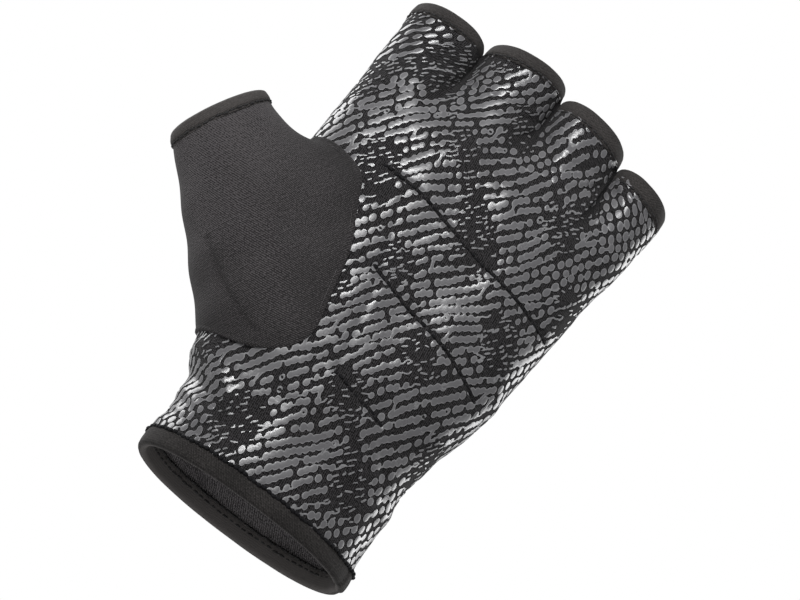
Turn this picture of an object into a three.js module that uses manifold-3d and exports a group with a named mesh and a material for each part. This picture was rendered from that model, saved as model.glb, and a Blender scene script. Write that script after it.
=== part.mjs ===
// A fingerless training glove for the left hand, in the form that it has when worn, in millimetres.
// The origin is the middle of the wrist opening on its rim. +Z runs up to the fingers, the palm faces
// -Y, the thumb stands out on the -X side and the little finger is at +X.
import * as THREE from 'three';
import { mergeVertices } from 'three/addons/utils/BufferGeometryUtils.js';
import Module from 'manifold-3d';

const wasm = await Module();
wasm.setup();

// Cloth walls, the clearance between neighbouring pieces, and how far the tapes stand proud of the cloth.
const CLOTH = 1.6;
const GAP = 0.3;
const PROUD = 0.4;

// The knit tape folded over each opening: its thickness over the cloth's edge, and its height.
const TAPE = 2.6;
const CUFF_TAPE_HEIGHT = 5.3;
const FINGER_TAPE_HEIGHT = 4.0;
const THUMB_TAPE_HEIGHT = 4.0;

// Sections across the hand, up from the wrist rim: half-widths to the thumb side and the little finger
// side, depths to the palm and the back, and the power of the section's rounded outline.
const SECTIONS = [
  { z: 0, thumbSide: 31.8, littleSide: 31.0, palm: 22.0, back: 23.0, power: 2.2 },
  { z: 8, thumbSide: 32.0, littleSide: 30.7, palm: 21.2, back: 21.4, power: 2.2 },
  { z: 18, thumbSide: 31.9, littleSide: 30.3, palm: 20.0, back: 19.4, power: 2.25 },
  { z: 27, thumbSide: 34.9, littleSide: 29.9, palm: 20.0, back: 18.4, power: 2.3 },
  { z: 36, thumbSide: 38.0, littleSide: 30.6, palm: 20.6, back: 17.8, power: 2.35 },
  { z: 54, thumbSide: 40.0, littleSide: 35.0, palm: 20.8, back: 17.4, power: 2.4 },
  { z: 74, thumbSide: 42.8, littleSide: 37.7, palm: 19.6, back: 16.9, power: 2.5 },
  { z: 93, thumbSide: 44.8, littleSide: 39.1, palm: 17.8, back: 15.8, power: 2.6 },
  { z: 112, thumbSide: 44.6, littleSide: 41.5, palm: 15.4, back: 14.2, power: 2.8 },
  { z: 126, thumbSide: 44.6, littleSide: 43.7, palm: 13.1, back: 12.4, power: 3.1 },
  { z: 140, thumbSide: 44.7, littleSide: 44.1, palm: 11.8, back: 11.3, power: 3.1 },
  { z: 156, thumbSide: 44.7, littleSide: 44.1, palm: 11.6, back: 11.1, power: 3.1 },
];

// The shallow hollow in the middle of the palm.
const CUP = { depth: 2.2, x: 3, z: 70, halfWidth: 16, halfHeight: 26 };

// The four finger openings over their tapes: the sides, the depths to the palm and the back, and the
// rim's height at the middle of the finger with its slope across the hand.
const FINGERS = [
  { name: 'index', from: -44.8, to: -22.0, palm: 11.6, back: 11.0, rim: 143.2, slope: 0.05 },
  { name: 'middle', from: -22.0, to: 2.3, palm: 12.0, back: 11.4, rim: 147.0, slope: 0.09 },
  { name: 'ring', from: 2.3, to: 25.3, palm: 11.6, back: 11.0, rim: 144.1, slope: -0.14 },
  { name: 'little', from: 25.3, to: 43.9, palm: 10.0, back: 9.6, rim: 137.6, slope: -0.22 },
];

// The cloth gathers from one hand section into four finger tubes between these heights. The webs
// between the fingers start at the crotch and are two layers pressed together.
const FINGERS_START = 119;
const FINGERS_FULL = 137;
const CROTCH = 129;
const WEB_HALF_DEPTH = 2.5;
const FINGER_POWER = 2.2;
const TUBES_TOP = 156;
const HOLLOWS_MEET = 1.5;

// The thumb opening: the middle of its rim, the way that the thumb points, and its half-sizes over
// the tape.
const THUMB_RIM = new THREE.Vector3(-68.1, -2, 83.5);
const THUMB_AXIS = new THREE.Vector3(-0.886, -0.06, 0.458).normalize();
const THUMB_HALF_WIDTH = 13.85;
const THUMB_HALF_DEPTH = 11.6;

// The thumb narrows to its opening: the slope of its cloth there on the wrist's side, and the slope
// on its palm and back.
const THUMB_TAPER = { wristSide: 0.32, flat: 0.1 };

// The oval seam that sets the thumb into the hand. A row is one point of it: the height, and the
// distance from the hand's middle towards the thumb side, on the palm or on the back of the hand.
const THUMB_SEAM = [
  { side: 'palm', x: -38.5, z: 91.6 },
  { side: 'palm', x: -30.0, z: 88.3 },
  { side: 'palm', x: -24.4, z: 80.0 },
  { side: 'palm', x: -19.4, z: 68.5 },
  { side: 'palm', x: -15.6, z: 54.5 },
  { side: 'palm', x: -14.2, z: 44.0 },
  { side: 'palm', x: -18.6, z: 36.6 },
  { side: 'palm', x: -27.0, z: 33.2 },
  { side: 'palm', x: -34.5, z: 33.0 },
  { side: 'back', x: -35.0, z: 36.5 },
  { side: 'back', x: -32.5, z: 46.0 },
  { side: 'back', x: -32.5, z: 62.0 },
  { side: 'back', x: -36.0, z: 78.0 },
  { side: 'back', x: -42.0, z: 89.0 },
];

// The seam's rough half-sizes across the thumb, and the skin in millimetres for each radian of turn.
const SEAM_HALF_WIDTH = 29;
const SEAM_HALF_DEPTH = 15;
const SKIN_PER_TURN = 20;

// How the thumb's cloth leaves the hand: the share of its starting direction that follows the thumb,
// how much more it does so on the wrist's side, its lift off the hand, and the reach of the curve's
// two ends as shares of the distance bridged.
const THUMB_LEAVE = { alongThumb: 0.5, moreBelow: 0.1, lift: 0.12, startReach: 0.7, endReach: 0.75 };

// The side seams lie a little behind the hand's edges, so that the palm wraps round them.
const SIDE_SEAM_Y = 6;

// How finely the pieces are faceted.
const COLUMNS_PER_FINGER = 7;
const CUFF_STEPS = 48;
const FINGER_TAPE_STEPS = 32;
const FINGER_HOLLOW_STEPS = 20;
const THUMB_STEPS = 40;
const THUMB_ROWS = 9;
const SLIVER = 0.02;
const HAND_HEIGHTS = [12, 18, 23, 28, 34, 42, 52, 63, 74, 84, 94, 103, 112, 119, 124];
const OUTER_HEIGHTS = [...HAND_HEIGHTS, 128, 132, 137, TUBES_TOP];
const INNER_HEIGHTS = [...HAND_HEIGHTS, CROTCH];

const KNIT = { color: 0x2b2a2b, roughness: 0.85, metalness: 0 };
const PRINTED_KNIT = { color: 0x4a4a4c, roughness: 0.6, metalness: 0 };
const BINDING_TAPE = { color: 0x343231, roughness: 0.8, metalness: 0 };

const clamp = THREE.MathUtils.clamp;
const lerp = THREE.MathUtils.lerp;
const smoothstep = THREE.MathUtils.smoothstep;

// The hand's section at height z, on a smooth curve through the table's rows.
function sectionAt(z) {
  const last = SECTIONS.length - 1;
  const upper = clamp(SECTIONS.findIndex((row) => row.z >= z), 1, last);
  const lower = upper - 1;
  const rows = [lower - 1, lower, upper, upper + 1].map((row) => SECTIONS[clamp(row, 0, last)]);
  const span = rows[2].z - rows[1].z;
  const t = clamp((z - rows[1].z) / span, 0, 1);
  const section = {};
  for (const key of ['thumbSide', 'littleSide', 'palm', 'back', 'power']) {
    const leaving = (rows[2][key] - rows[0][key]) / (rows[2].z - rows[0].z) * span;
    const arriving = (rows[3][key] - rows[1][key]) / (rows[3].z - rows[1].z) * span;
    const rise = rows[2][key] - rows[1][key];
    const bend = 3 * rise - 2 * leaving - arriving;
    const twist = leaving + arriving - 2 * rise;
    section[key] = rows[1][key] + t * (leaving + t * (bend + t * twist));
  }
  return section;
}

// How far the palm is cupped at a place.
function cupAt(x, z) {
  const across = (x - CUP.x) / CUP.halfWidth;
  const along = (z - CUP.z) / CUP.halfHeight;
  return CUP.depth * Math.exp(-across * across - along * along);
}

// A point of the hand's skin. Turn 0 is the edge on the thumb side, positive turns go over the palm
// and negative ones over the back, and inset goes into the cloth.
function skinPoint(turn, z, inset) {
  const section = sectionAt(z);
  const cos = Math.cos(turn);
  const sin = Math.sin(turn);
  const halfWidth = (cos > 0 ? section.thumbSide : section.littleSide) - inset;
  const depth = (sin > 0 ? section.palm : section.back) - inset;
  const x = -Math.sign(cos) * halfWidth * Math.pow(Math.abs(cos), 2 / section.power);
  const swell = Math.sign(sin) * depth * Math.pow(Math.abs(sin), 2 / section.power);
  const cup = sin > 0 ? cupAt(x, z) * smoothstep(sin, 0, 0.6) : 0;
  return new THREE.Vector3(x, cup - swell, z);
}

// The outward normal of the hand's skin.
function skinNormal(turn, z) {
  const step = 0.02;
  const around = skinPoint(turn + step, z, 0).sub(skinPoint(turn - step, z, 0));
  const up = skinPoint(turn, z + 1, 0).sub(skinPoint(turn, z - 1, 0));
  return around.cross(up).normalize();
}

// The depth of a rounded outline at a share of its half-width, as a share of its full depth.
function fullnessAt(share, power) {
  return Math.pow(Math.max(1 - Math.pow(share, power), 0), 1 / power);
}

// A point at a turn round a rounded outline, with its outward direction in the outline's plane.
function roundedPoint(turn, halfWidth, depth, power) {
  const cos = Math.cos(turn);
  const sin = Math.sin(turn);
  const across = Math.sign(cos) * Math.pow(Math.abs(cos), 2 / power);
  const deep = Math.sign(sin) * Math.pow(Math.abs(sin), 2 / power);
  const outward = new THREE.Vector2(
    Math.sign(cos) * Math.pow(Math.abs(across), power - 1) / halfWidth,
    Math.sign(sin) * Math.pow(Math.abs(deep), power - 1) / depth,
  ).normalize();
  return { x: across * halfWidth, y: deep * depth, outward };
}

// The ring of one height of the hand. Its columns run over the palm from the thumb side to the little
// finger and back over the back of the hand, each in line with the same place of its finger.
function handRing(z, inset) {
  const section = sectionAt(z);
  const gathered = smoothstep(z, FINGERS_START, FINGERS_FULL);
  const count = FINGERS.length * COLUMNS_PER_FINGER;
  const edge = { low: FINGERS[0].from, high: FINGERS[FINGERS.length - 1].to };
  const ring = [];
  for (let column = 0; column < 2 * count; column += 1) {
    const onPalm = column < count;
    const place = (onPalm ? column : 2 * count - column) / COLUMNS_PER_FINGER;
    const finger = FINGERS[Math.min(Math.floor(place), FINGERS.length - 1)];
    const phase = Math.PI * (place - FINGERS.indexOf(finger));
    const middle = (finger.from + finger.to) / 2;
    const halfSpan = (finger.to - finger.from) / 2;
    const fingerX = middle - halfSpan * Math.cos(phase);
    const share = fingerX < 0 ? fingerX / -edge.low : fingerX / edge.high;
    const halfWidth = (share < 0 ? section.thumbSide : section.littleSide) - inset;
    const fullness = fullnessAt(Math.abs(share), section.power);
    const depth = onPalm ? section.palm : section.back;
    const x = share * halfWidth;
    const cup = onPalm ? cupAt(x, z) * smoothstep(fullness, 0, 0.6) : 0;
    const handDepth = (depth - inset) * fullness - cup;
    const tubeDepth = (onPalm ? finger.palm : finger.back) - PROUD - inset;
    const tubeShare = Math.abs(fingerX - middle) / (halfSpan - PROUD);
    const tube = tubeDepth * fullnessAt(tubeShare, FINGER_POWER);
    const onWeb = column % count > COLUMNS_PER_FINGER / 2 && column % count < count - COLUMNS_PER_FINGER / 2;
    const web = onWeb ? WEB_HALF_DEPTH - inset : 0;
    const y = lerp(handDepth, Math.max(tube, web), gathered);
    ring.push(new THREE.Vector3(x, onPalm ? -y : y, z));
  }
  return ring;
}

// A closed solid through a stack of rings of as many points each, with flat ends.
function loft(rings) {
  const count = rings[0].length;
  const points = rings.flat();
  const faces = [];
  for (let level = 0; level + 1 < rings.length; level += 1) {
    for (let i = 0; i < count; i += 1) {
      const a = level * count + i;
      const b = level * count + (i + 1) % count;
      faces.push([a, b, b + count], [a, b + count, a + count]);
    }
  }
  for (const [level, flip] of [[0, true], [rings.length - 1, false]]) {
    const outline = rings[level].map((point) => new THREE.Vector2(point.x, point.y));
    for (const corners of THREE.ShapeUtils.triangulateShape(outline, [])) {
      const [a, b, c] = corners.map((corner) => level * count + corner);
      faces.push(flip ? [c, b, a] : [a, b, c]);
    }
  }
  return meshFrom(points, faces);
}

// A closed band through rings of as many points each, where the last ring joins the first.
function closedBand(rings) {
  const count = rings[0].length;
  const faces = [];
  for (let level = 0; level < rings.length; level += 1) {
    for (let i = 0; i < count; i += 1) {
      const next = (level + 1) % rings.length;
      const a = level * count + i;
      const b = level * count + (i + 1) % count;
      const c = next * count + (i + 1) % count;
      const d = next * count + i;
      faces.push([a, b, c], [a, c, d]);
    }
  }
  return meshFrom(rings.flat(), faces);
}

// Points and triangles as a geometry whose faces point outwards.
function meshFrom(points, faces) {
  let volume = 0;
  for (const [a, b, c] of faces) {
    volume += points[a].dot(new THREE.Vector3().crossVectors(points[b], points[c]));
  }
  const outward = volume > 0 ? faces : faces.map(([a, b, c]) => [a, c, b]);
  const geometry = new THREE.BufferGeometry();
  geometry.setAttribute('position', new THREE.Float32BufferAttribute(points.flatMap((p) => p.toArray()), 3));
  geometry.setIndex(outward.flat());
  return geometry;
}

function toSolid(geometry) {
  const vertProperties = new Float32Array(geometry.attributes.position.array);
  const triVerts = new Uint32Array(geometry.index.array);
  return new wasm.Manifold(new wasm.Mesh({ numProp: 3, vertProperties, triVerts }));
}

// A cut solid as a geometry, with the slivers along its cuts welded shut.
function toGeometry(solid) {
  const mesh = solid.getMesh();
  const geometry = new THREE.BufferGeometry();
  geometry.setAttribute('position', new THREE.Float32BufferAttribute(mesh.vertProperties, 3));
  geometry.setIndex(new THREE.Uint32BufferAttribute(mesh.triVerts, 1));
  const welded = mergeVertices(geometry, SLIVER);
  const kept = [];
  for (let i = 0; i < welded.index.count; i += 3) {
    const [a, b, c] = [0, 1, 2].map((k) => welded.index.getX(i + k));
    if (a !== b && b !== c && c !== a) kept.push(a, b, c);
  }
  welded.setIndex(kept);
  return welded;
}

// A ring of four corners between two x and two y values, whose height may change with x.
function rectangle([left, right], [front, behind], heightAt) {
  return [[left, front], [right, front], [right, behind], [left, behind]].map(
    ([x, y]) => new THREE.Vector3(x, y, heightAt(x)),
  );
}

// The hollow of one finger's cloth, from just under the crotch to past its rim.
function fingerHollow(finger) {
  const middle = (finger.from + finger.to) / 2;
  const halfWidth = (finger.to - finger.from) / 2 - PROUD - CLOTH;
  const rings = [CROTCH - HOLLOWS_MEET, TUBES_TOP + HOLLOWS_MEET].map((z) => {
    const ring = [];
    for (let i = 0; i < FINGER_HOLLOW_STEPS; i += 1) {
      const turn = 2 * Math.PI * i / FINGER_HOLLOW_STEPS;
      const depth = (Math.sin(turn) < 0 ? finger.palm : finger.back) - PROUD - CLOTH;
      const { x, y } = roundedPoint(turn, halfWidth, depth, FINGER_POWER);
      ring.push(new THREE.Vector3(middle + x, y, z));
    }
    return ring;
  });
  return toSolid(loft(rings));
}

// What is cut away over one finger's rim, down to the lower edge of its tape.
function fingerTrim(finger) {
  const middle = (finger.from + finger.to) / 2;
  const lower = finger.rim - FINGER_TAPE_HEIGHT - GAP;
  const xs = [finger.from - GAP, finger.to + GAP];
  const ys = [-2 * finger.palm, 2 * finger.back];
  const underTape = (x) => lower + finger.slope * (x - middle);
  return toSolid(loft([rectangle(xs, ys, underTape), rectangle(xs, ys, () => TUBES_TOP + 2 * HOLLOWS_MEET)]));
}

// The seam round the thumb as turns and heights on the hand's skin, evenly stepped.
function thumbSeam() {
  const marks = THUMB_SEAM.map((row) => {
    const section = sectionAt(row.z);
    const cos = Math.pow(clamp(-row.x / section.thumbSide, 0, 1), section.power / 2);
    const turn = Math.acos(cos) * (row.side === 'palm' ? 1 : -1);
    return new THREE.Vector3(turn * SKIN_PER_TURN, row.z, 0);
  });
  const curve = new THREE.CatmullRomCurve3(marks, true, 'centripetal');
  const middle = new THREE.Vector3();
  marks.forEach((mark) => middle.addScaledVector(mark, 1 / marks.length));
  const places = curve.getSpacedPoints(THUMB_STEPS).slice(0, THUMB_STEPS);
  return places.map((place) => ({ turn: place.x / SKIN_PER_TURN, z: place.y, middle, place }));
}

// The hole in the hand for the thumb: a plug through the cloth, square to the skin along the seam.
function thumbHole(seam) {
  const through = 4;
  const outside = new THREE.Vector3(-88, -40, 63);
  const inside = new THREE.Vector3(-15, 0, 63);
  const points = [];
  for (const mark of seam) {
    const normal = skinNormal(mark.turn, mark.z);
    const point = skinPoint(mark.turn, mark.z, 0);
    points.push(point.clone().addScaledVector(normal, through));
    points.push(point.clone().addScaledVector(normal, -through));
  }
  const hubOutside = points.push(outside) - 1;
  const hubInside = points.push(inside) - 1;
  const faces = [];
  for (let i = 0; i < seam.length; i += 1) {
    const a = 2 * i;
    const b = 2 * ((i + 1) % seam.length);
    faces.push([a, a + 1, b + 1], [a, b + 1, b], [a, b, hubOutside], [b + 1, a + 1, hubInside]);
  }
  return toSolid(meshFrom(points, faces));
}

// Two directions across the thumb: over its width in the palm's plane, and through its depth.
function thumbCross() {
  const depthwise = new THREE.Vector3(0, 1, 0);
  const widthwise = new THREE.Vector3().crossVectors(THUMB_AXIS, depthwise).normalize();
  depthwise.crossVectors(widthwise, THUMB_AXIS).normalize();
  return { widthwise, depthwise };
}

// The way that the thumb's cloth runs out to its opening at an angle round the thumb.
function thumbRun(angle) {
  const { widthwise, depthwise } = thumbCross();
  return THUMB_AXIS.clone()
    .addScaledVector(widthwise, -THUMB_TAPER.wristSide * Math.max(Math.cos(angle), 0))
    .addScaledVector(depthwise, -THUMB_TAPER.flat * Math.sin(angle));
}

// A point of the thumb opening's oval at an angle round the thumb, drawn in and set back from the rim.
function thumbOval(angle, drawnIn, back) {
  const { widthwise, depthwise } = thumbCross();
  return THUMB_RIM.clone()
    .addScaledVector(widthwise, (THUMB_HALF_WIDTH - drawnIn) * Math.cos(angle))
    .addScaledVector(depthwise, (THUMB_HALF_DEPTH - drawnIn) * Math.sin(angle))
    .addScaledVector(thumbRun(angle), -back);
}

// One line of the thumb's cloth from the seam to the opening.
function thumbLine(mark, seamMiddle) {
  const inHole = mark.middle.clone().sub(mark.place).normalize();
  const root = skinPoint(mark.turn, mark.z, 0);
  const ahead = skinPoint(mark.turn + inHole.x / SKIN_PER_TURN, mark.z + inHole.y, 0);
  const intoHole = ahead.sub(root).normalize();
  const normal = skinNormal(mark.turn, mark.z);
  const start = root.clone().addScaledVector(intoHole, GAP);
  const { widthwise, depthwise } = thumbCross();
  const spoke = start.clone().sub(seamMiddle);
  const angle = Math.atan2(spoke.dot(depthwise) / SEAM_HALF_DEPTH, spoke.dot(widthwise) / SEAM_HALF_WIDTH);
  const end = thumbOval(angle, PROUD, THUMB_TAPE_HEIGHT + GAP);
  const distance = start.distanceTo(end);
  const alongThumb = THUMB_LEAVE.alongThumb + THUMB_LEAVE.moreBelow * Math.cos(angle);
  const leaving = intoHole.clone().multiplyScalar(1 - alongThumb)
    .addScaledVector(THUMB_AXIS, alongThumb)
    .normalize()
    .addScaledVector(normal, THUMB_LEAVE.lift)
    .normalize()
    .multiplyScalar(distance * THUMB_LEAVE.startReach);
  const arriving = thumbRun(angle).multiplyScalar(distance * THUMB_LEAVE.endReach);
  const line = [];
  for (let row = 0; row <= THUMB_ROWS; row += 1) {
    const t = row / THUMB_ROWS;
    const point = start.clone().multiplyScalar(2 * t ** 3 - 3 * t ** 2 + 1)
      .addScaledVector(leaving, t ** 3 - 2 * t ** 2 + t)
      .addScaledVector(end, 3 * t ** 2 - 2 * t ** 3)
      .addScaledVector(arriving, t ** 3 - t ** 2);
    line.push(point);
  }
  return { line, normal };
}

// The thumb's cloth: a thick tube that starts in the seam's oval and ends under the thumb's tape.
function thumbPanel(seam) {
  const seamMiddle = new THREE.Vector3();
  seam.forEach((mark) => seamMiddle.addScaledVector(skinPoint(mark.turn, mark.z, 0), 1 / seam.length));
  const lines = seam.map((mark) => thumbLine(mark, seamMiddle));
  const around = lines.map((_, column) => {
    const previous = lines[(column + lines.length - 1) % lines.length].line;
    const next = lines[(column + 1) % lines.length].line;
    const { line, normal } = lines[column];
    const inner = line.map((point, row) => {
      const side = next[row].clone().sub(previous[row]);
      const along = line[Math.min(row + 1, THUMB_ROWS)].clone().sub(line[Math.max(row - 1, 0)]);
      const facing = along.cross(side).normalize();
      return point.clone().addScaledVector(row === 0 ? normal : facing, -CLOTH);
    });
    return [...line, ...inner.reverse()];
  });
  return closedBand(around);
}

// A tape folded over an edge: a rounded band whose rim follows the outline. Each place of the outline
// has its point on the rim's outer edge, the way in towards the opening and the way back to the cloth.
function tape(outline, height) {
  const round = 0.7;
  const profile = [
    [round, 0], [TAPE - round, 0], [TAPE, round], [TAPE, height - round / 2],
    [TAPE - round / 2, height], [round / 2, height], [0, height - round / 2], [0, round],
  ];
  return closedBand(outline.map(({ point, inward, back }) => profile.map(([across, down]) => (
    point.clone().addScaledVector(inward, across).addScaledVector(back, down)
  ))));
}

function cuffOutline() {
  const outline = [];
  for (let i = 0; i < CUFF_STEPS; i += 1) {
    const turn = 2 * Math.PI * i / CUFF_STEPS;
    const point = skinPoint(turn, 0, 0);
    const above = skinPoint(turn, CUFF_TAPE_HEIGHT, 0);
    const normal = skinNormal(turn, 1).setZ(0).normalize();
    const back = above.sub(point).normalize();
    outline.push({ point, inward: normal.negate(), back });
  }
  return outline;
}

function fingerOutline(finger) {
  const middle = (finger.from + finger.to) / 2;
  const halfWidth = (finger.to - finger.from) / 2 - GAP / 2;
  const outline = [];
  for (let i = 0; i < FINGER_TAPE_STEPS; i += 1) {
    const turn = 2 * Math.PI * i / FINGER_TAPE_STEPS;
    const depth = Math.sin(turn) < 0 ? finger.palm : finger.back;
    const { x, y, outward } = roundedPoint(turn, halfWidth, depth, FINGER_POWER);
    const point = new THREE.Vector3(middle + x, y, finger.rim + finger.slope * x);
    const inward = new THREE.Vector3(-outward.x, -outward.y, -finger.slope * outward.x);
    outline.push({ point, inward, back: new THREE.Vector3(0, 0, -1) });
  }
  return outline;
}

function thumbOutline() {
  const outline = [];
  for (let i = 0; i < THUMB_STEPS; i += 1) {
    const angle = 2 * Math.PI * i / THUMB_STEPS;
    const point = thumbOval(angle, 0, 0);
    const { widthwise, depthwise } = thumbCross();
    const inward = new THREE.Vector3()
      .addScaledVector(widthwise, -Math.cos(angle) / THUMB_HALF_WIDTH)
      .addScaledVector(depthwise, -Math.sin(angle) / THUMB_HALF_DEPTH)
      .normalize();
    outline.push({ point, inward, back: thumbRun(angle).negate() });
  }
  return outline;
}

// The cloth of the whole hand with its hollow, its trimmed fingers and the hole for the thumb.
function handShell(seam) {
  const bottom = CUFF_TAPE_HEIGHT + GAP;
  const outer = toSolid(loft([bottom, ...OUTER_HEIGHTS].map((z) => handRing(z, PROUD))));
  const inner = toSolid(loft([bottom - 1, ...INNER_HEIGHTS].map((z) => handRing(z, PROUD + CLOTH))));
  let shell = outer.subtract(inner);
  for (const finger of FINGERS) {
    shell = shell.subtract(fingerHollow(finger)).subtract(fingerTrim(finger));
  }
  return shell.subtract(thumbHole(seam));
}

// All that lies on the palm side (-1) or the back side (1) of the side seams, as a block.
function sideBlock(direction) {
  const reach = 200;
  const seamFace = SIDE_SEAM_Y + direction * GAP / 2;
  const ys = [seamFace, seamFace + direction * reach].sort((a, b) => a - b);
  return toSolid(loft([-reach, reach].map((z) => rectangle([-reach, reach], ys, () => z))));
}

function piece(name, geometry, finish) {
  const mesh = new THREE.Mesh(geometry, new THREE.MeshStandardMaterial(finish));
  mesh.name = name;
  return mesh;
}

const seam = thumbSeam();
const shell = handShell(seam);

const glove = new THREE.Group();
glove.name = 'training_glove';
glove.add(piece('palm_panel', toGeometry(shell.intersect(sideBlock(-1))), PRINTED_KNIT));
glove.add(piece('back_panel', toGeometry(shell.intersect(sideBlock(1))), KNIT));
glove.add(piece('thumb_panel', thumbPanel(seam), KNIT));
glove.add(piece('cuff_binding', tape(cuffOutline(), CUFF_TAPE_HEIGHT), BINDING_TAPE));
glove.add(piece('thumb_binding', tape(thumbOutline(), THUMB_TAPE_HEIGHT), BINDING_TAPE));
for (const finger of FINGERS) {
  glove.add(piece(`${finger.name}_binding`, tape(fingerOutline(finger), FINGER_TAPE_HEIGHT), BINDING_TAPE));
}

export default glove;
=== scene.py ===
"""A fingerless training glove for the left hand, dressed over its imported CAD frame.

Sizes are named in millimetres and become metres where a mesh is made. +Z runs from the wrist to the fingers,
the palm faces -Y, the thumb stands out towards -X and the little finger is at +X.
"""
import logging
import math
from dataclasses import dataclass, field, replace
from enum import Enum

import bpy
import numpy as np
from bpy.types import Material, Node, NodeSocket, NodeTree, Object
from mathutils import Matrix


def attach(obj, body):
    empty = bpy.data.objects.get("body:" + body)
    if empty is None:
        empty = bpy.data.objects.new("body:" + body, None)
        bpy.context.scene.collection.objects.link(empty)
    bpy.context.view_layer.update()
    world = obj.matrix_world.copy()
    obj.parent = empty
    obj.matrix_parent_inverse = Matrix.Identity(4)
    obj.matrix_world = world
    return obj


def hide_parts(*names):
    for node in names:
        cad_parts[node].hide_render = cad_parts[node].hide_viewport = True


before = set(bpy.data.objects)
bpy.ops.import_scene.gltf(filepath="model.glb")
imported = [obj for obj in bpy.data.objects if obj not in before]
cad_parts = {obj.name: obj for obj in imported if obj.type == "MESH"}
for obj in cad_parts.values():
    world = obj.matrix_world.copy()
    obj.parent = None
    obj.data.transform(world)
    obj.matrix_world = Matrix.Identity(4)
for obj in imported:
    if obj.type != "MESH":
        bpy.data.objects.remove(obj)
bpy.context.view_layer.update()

LOG = logging.getLogger("training_glove")
Array = np.ndarray
Pair = tuple[float, float]
Triple = tuple[float, float, float]
MM = 0.001
BODY = "root"
FULL_ROUND = 8.0

# The thumb cloth's clearance in its seam, how far the tapes stand proud, and the thickness of the cloth.
SEAM_GAP = 0.3
PROUD = 0.4
CLOTH = 1.4

# The least length or area that a division takes.
TINY = 1e-12


class Slot(Enum):
    """The record's material slots."""

    PALM_KNIT = "palm_knit"
    PLAIN_KNIT = "plain_knit"
    BINDING_TAPE = "binding_tape"
    GRIP_PRINT = "grip_print"
    STITCH_THREAD = "stitch_thread"


class Side(Enum):
    """The two sides of the hand."""

    PALM = "palm"
    BACK = "back"


def smoothstep(value: Array, low: float, high: float | Array) -> Array:
    """A smooth rise from 0 at low to 1 at high."""
    share = np.clip((value - low) / (high - low), 0.0, 1.0)
    return share * share * (3.0 - 2.0 * share)


def unit(vectors: Array) -> Array:
    """The vectors at length one."""
    return vectors / np.maximum(np.linalg.norm(vectors, axis=-1, keepdims=True), TINY)


def swell(across: Array, along: Array, wavelength: float, seed: int) -> Array:
    """A smooth seeded unevenness between about -1 and 1.

    Args:
        across: Places across, in millimetres.
        along: Places along, in millimetres.
        wavelength: The usual width of one swell, in millimetres.
        seed: The seed of the pattern.

    Returns:
        The unevenness at each place.
    """
    draws = np.random.default_rng(seed)
    total = np.zeros(np.broadcast(across, along).shape)
    waves = 7
    for _ in range(waves):
        way = draws.uniform(0, 2 * np.pi)
        length = wavelength * draws.uniform(0.7, 1.5)
        phase = draws.uniform(0, 2 * np.pi)
        total += np.sin(2 * np.pi * (across * np.cos(way) + along * np.sin(way)) / length + phase)
    return total / math.sqrt(waves)


def smooth_curve(marks: Array, closed: bool, count: int) -> Array:
    """A centripetal Catmull-Rom curve through the marks, evenly stepped.

    Args:
        marks: The points that the curve passes, one a row.
        closed: Whether the last mark leads on to the first.
        count: How many points come back.

    Returns:
        The curve's points, one a row. A closed curve doesn't repeat its first point.
    """
    if closed:
        padded = np.vstack([marks[-1:], marks, marks[:2]])
    else:
        padded = np.vstack([2 * marks[:1] - marks[1:2], marks, 2 * marks[-1:] - marks[-2:-1]])
    steps_a_run = 40
    t = np.linspace(0, 1, steps_a_run, endpoint=False)[:, None]
    runs = []
    for p0, p1, p2, p3 in zip(padded, padded[1:], padded[2:], padded[3:]):
        d0, d1, d2 = (max(np.linalg.norm(b - a), TINY) ** 0.5 for a, b in ((p0, p1), (p1, p2), (p2, p3)))
        leave = ((p1 - p0) / d0 - (p2 - p0) / (d0 + d1) + (p2 - p1) / d1) * d1
        arrive = ((p2 - p1) / d1 - (p3 - p1) / (d1 + d2) + (p3 - p2) / d2) * d1
        bend = 2 * (p1 - p2) + leave + arrive
        runs.append(p1 + t * (leave + t * (3 * (p2 - p1) - 2 * leave - arrive + t * bend)))
    dense = np.vstack(runs + [padded[-2:-1]])
    length = np.concatenate([[0], np.cumsum(np.linalg.norm(np.diff(dense, axis=0), axis=1))])
    wanted = np.linspace(0, length[-1], count, endpoint=not closed)
    return np.stack([np.interp(wanted, length, column) for column in dense.T], axis=-1)


@dataclass(frozen=True)
class Finger:
    """One finger opening over its tape: sides, depths, and the rim's height and slope across the hand."""

    name: str
    low: float
    high: float
    palm: float
    back: float
    rim: float
    slope: float

    @property
    def middle(self) -> float:
        """The finger's middle across the hand."""
        return (self.low + self.high) / 2

    @property
    def half_span(self) -> float:
        """Half the finger's width."""
        return (self.high - self.low) / 2


@dataclass(frozen=True)
class PalmSeam:
    """A fine stitched seam line pressed into the palm, through points across and up."""

    marks: tuple[Pair, ...]
    depth: float = 0.6
    half_width: float = 0.8

    def line(self, count: int = 120) -> Array:
        """The seam's points across and up, evenly stepped."""
        return smooth_curve(np.array(self.marks), False, count)

    def distance(self, x: Array, z: Array) -> Array:
        """How far each place lies from the seam, in millimetres."""
        line = self.line(60)
        return segment_distance(x, z, line[:-1], line[1:])


@dataclass(frozen=True)
class Fold:
    """A soft ridge or, with a negative height, a soft valley in the cloth between two places."""

    sides: tuple[Side, ...]
    start: Pair
    end: Pair
    height: float
    half_width: float


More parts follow.
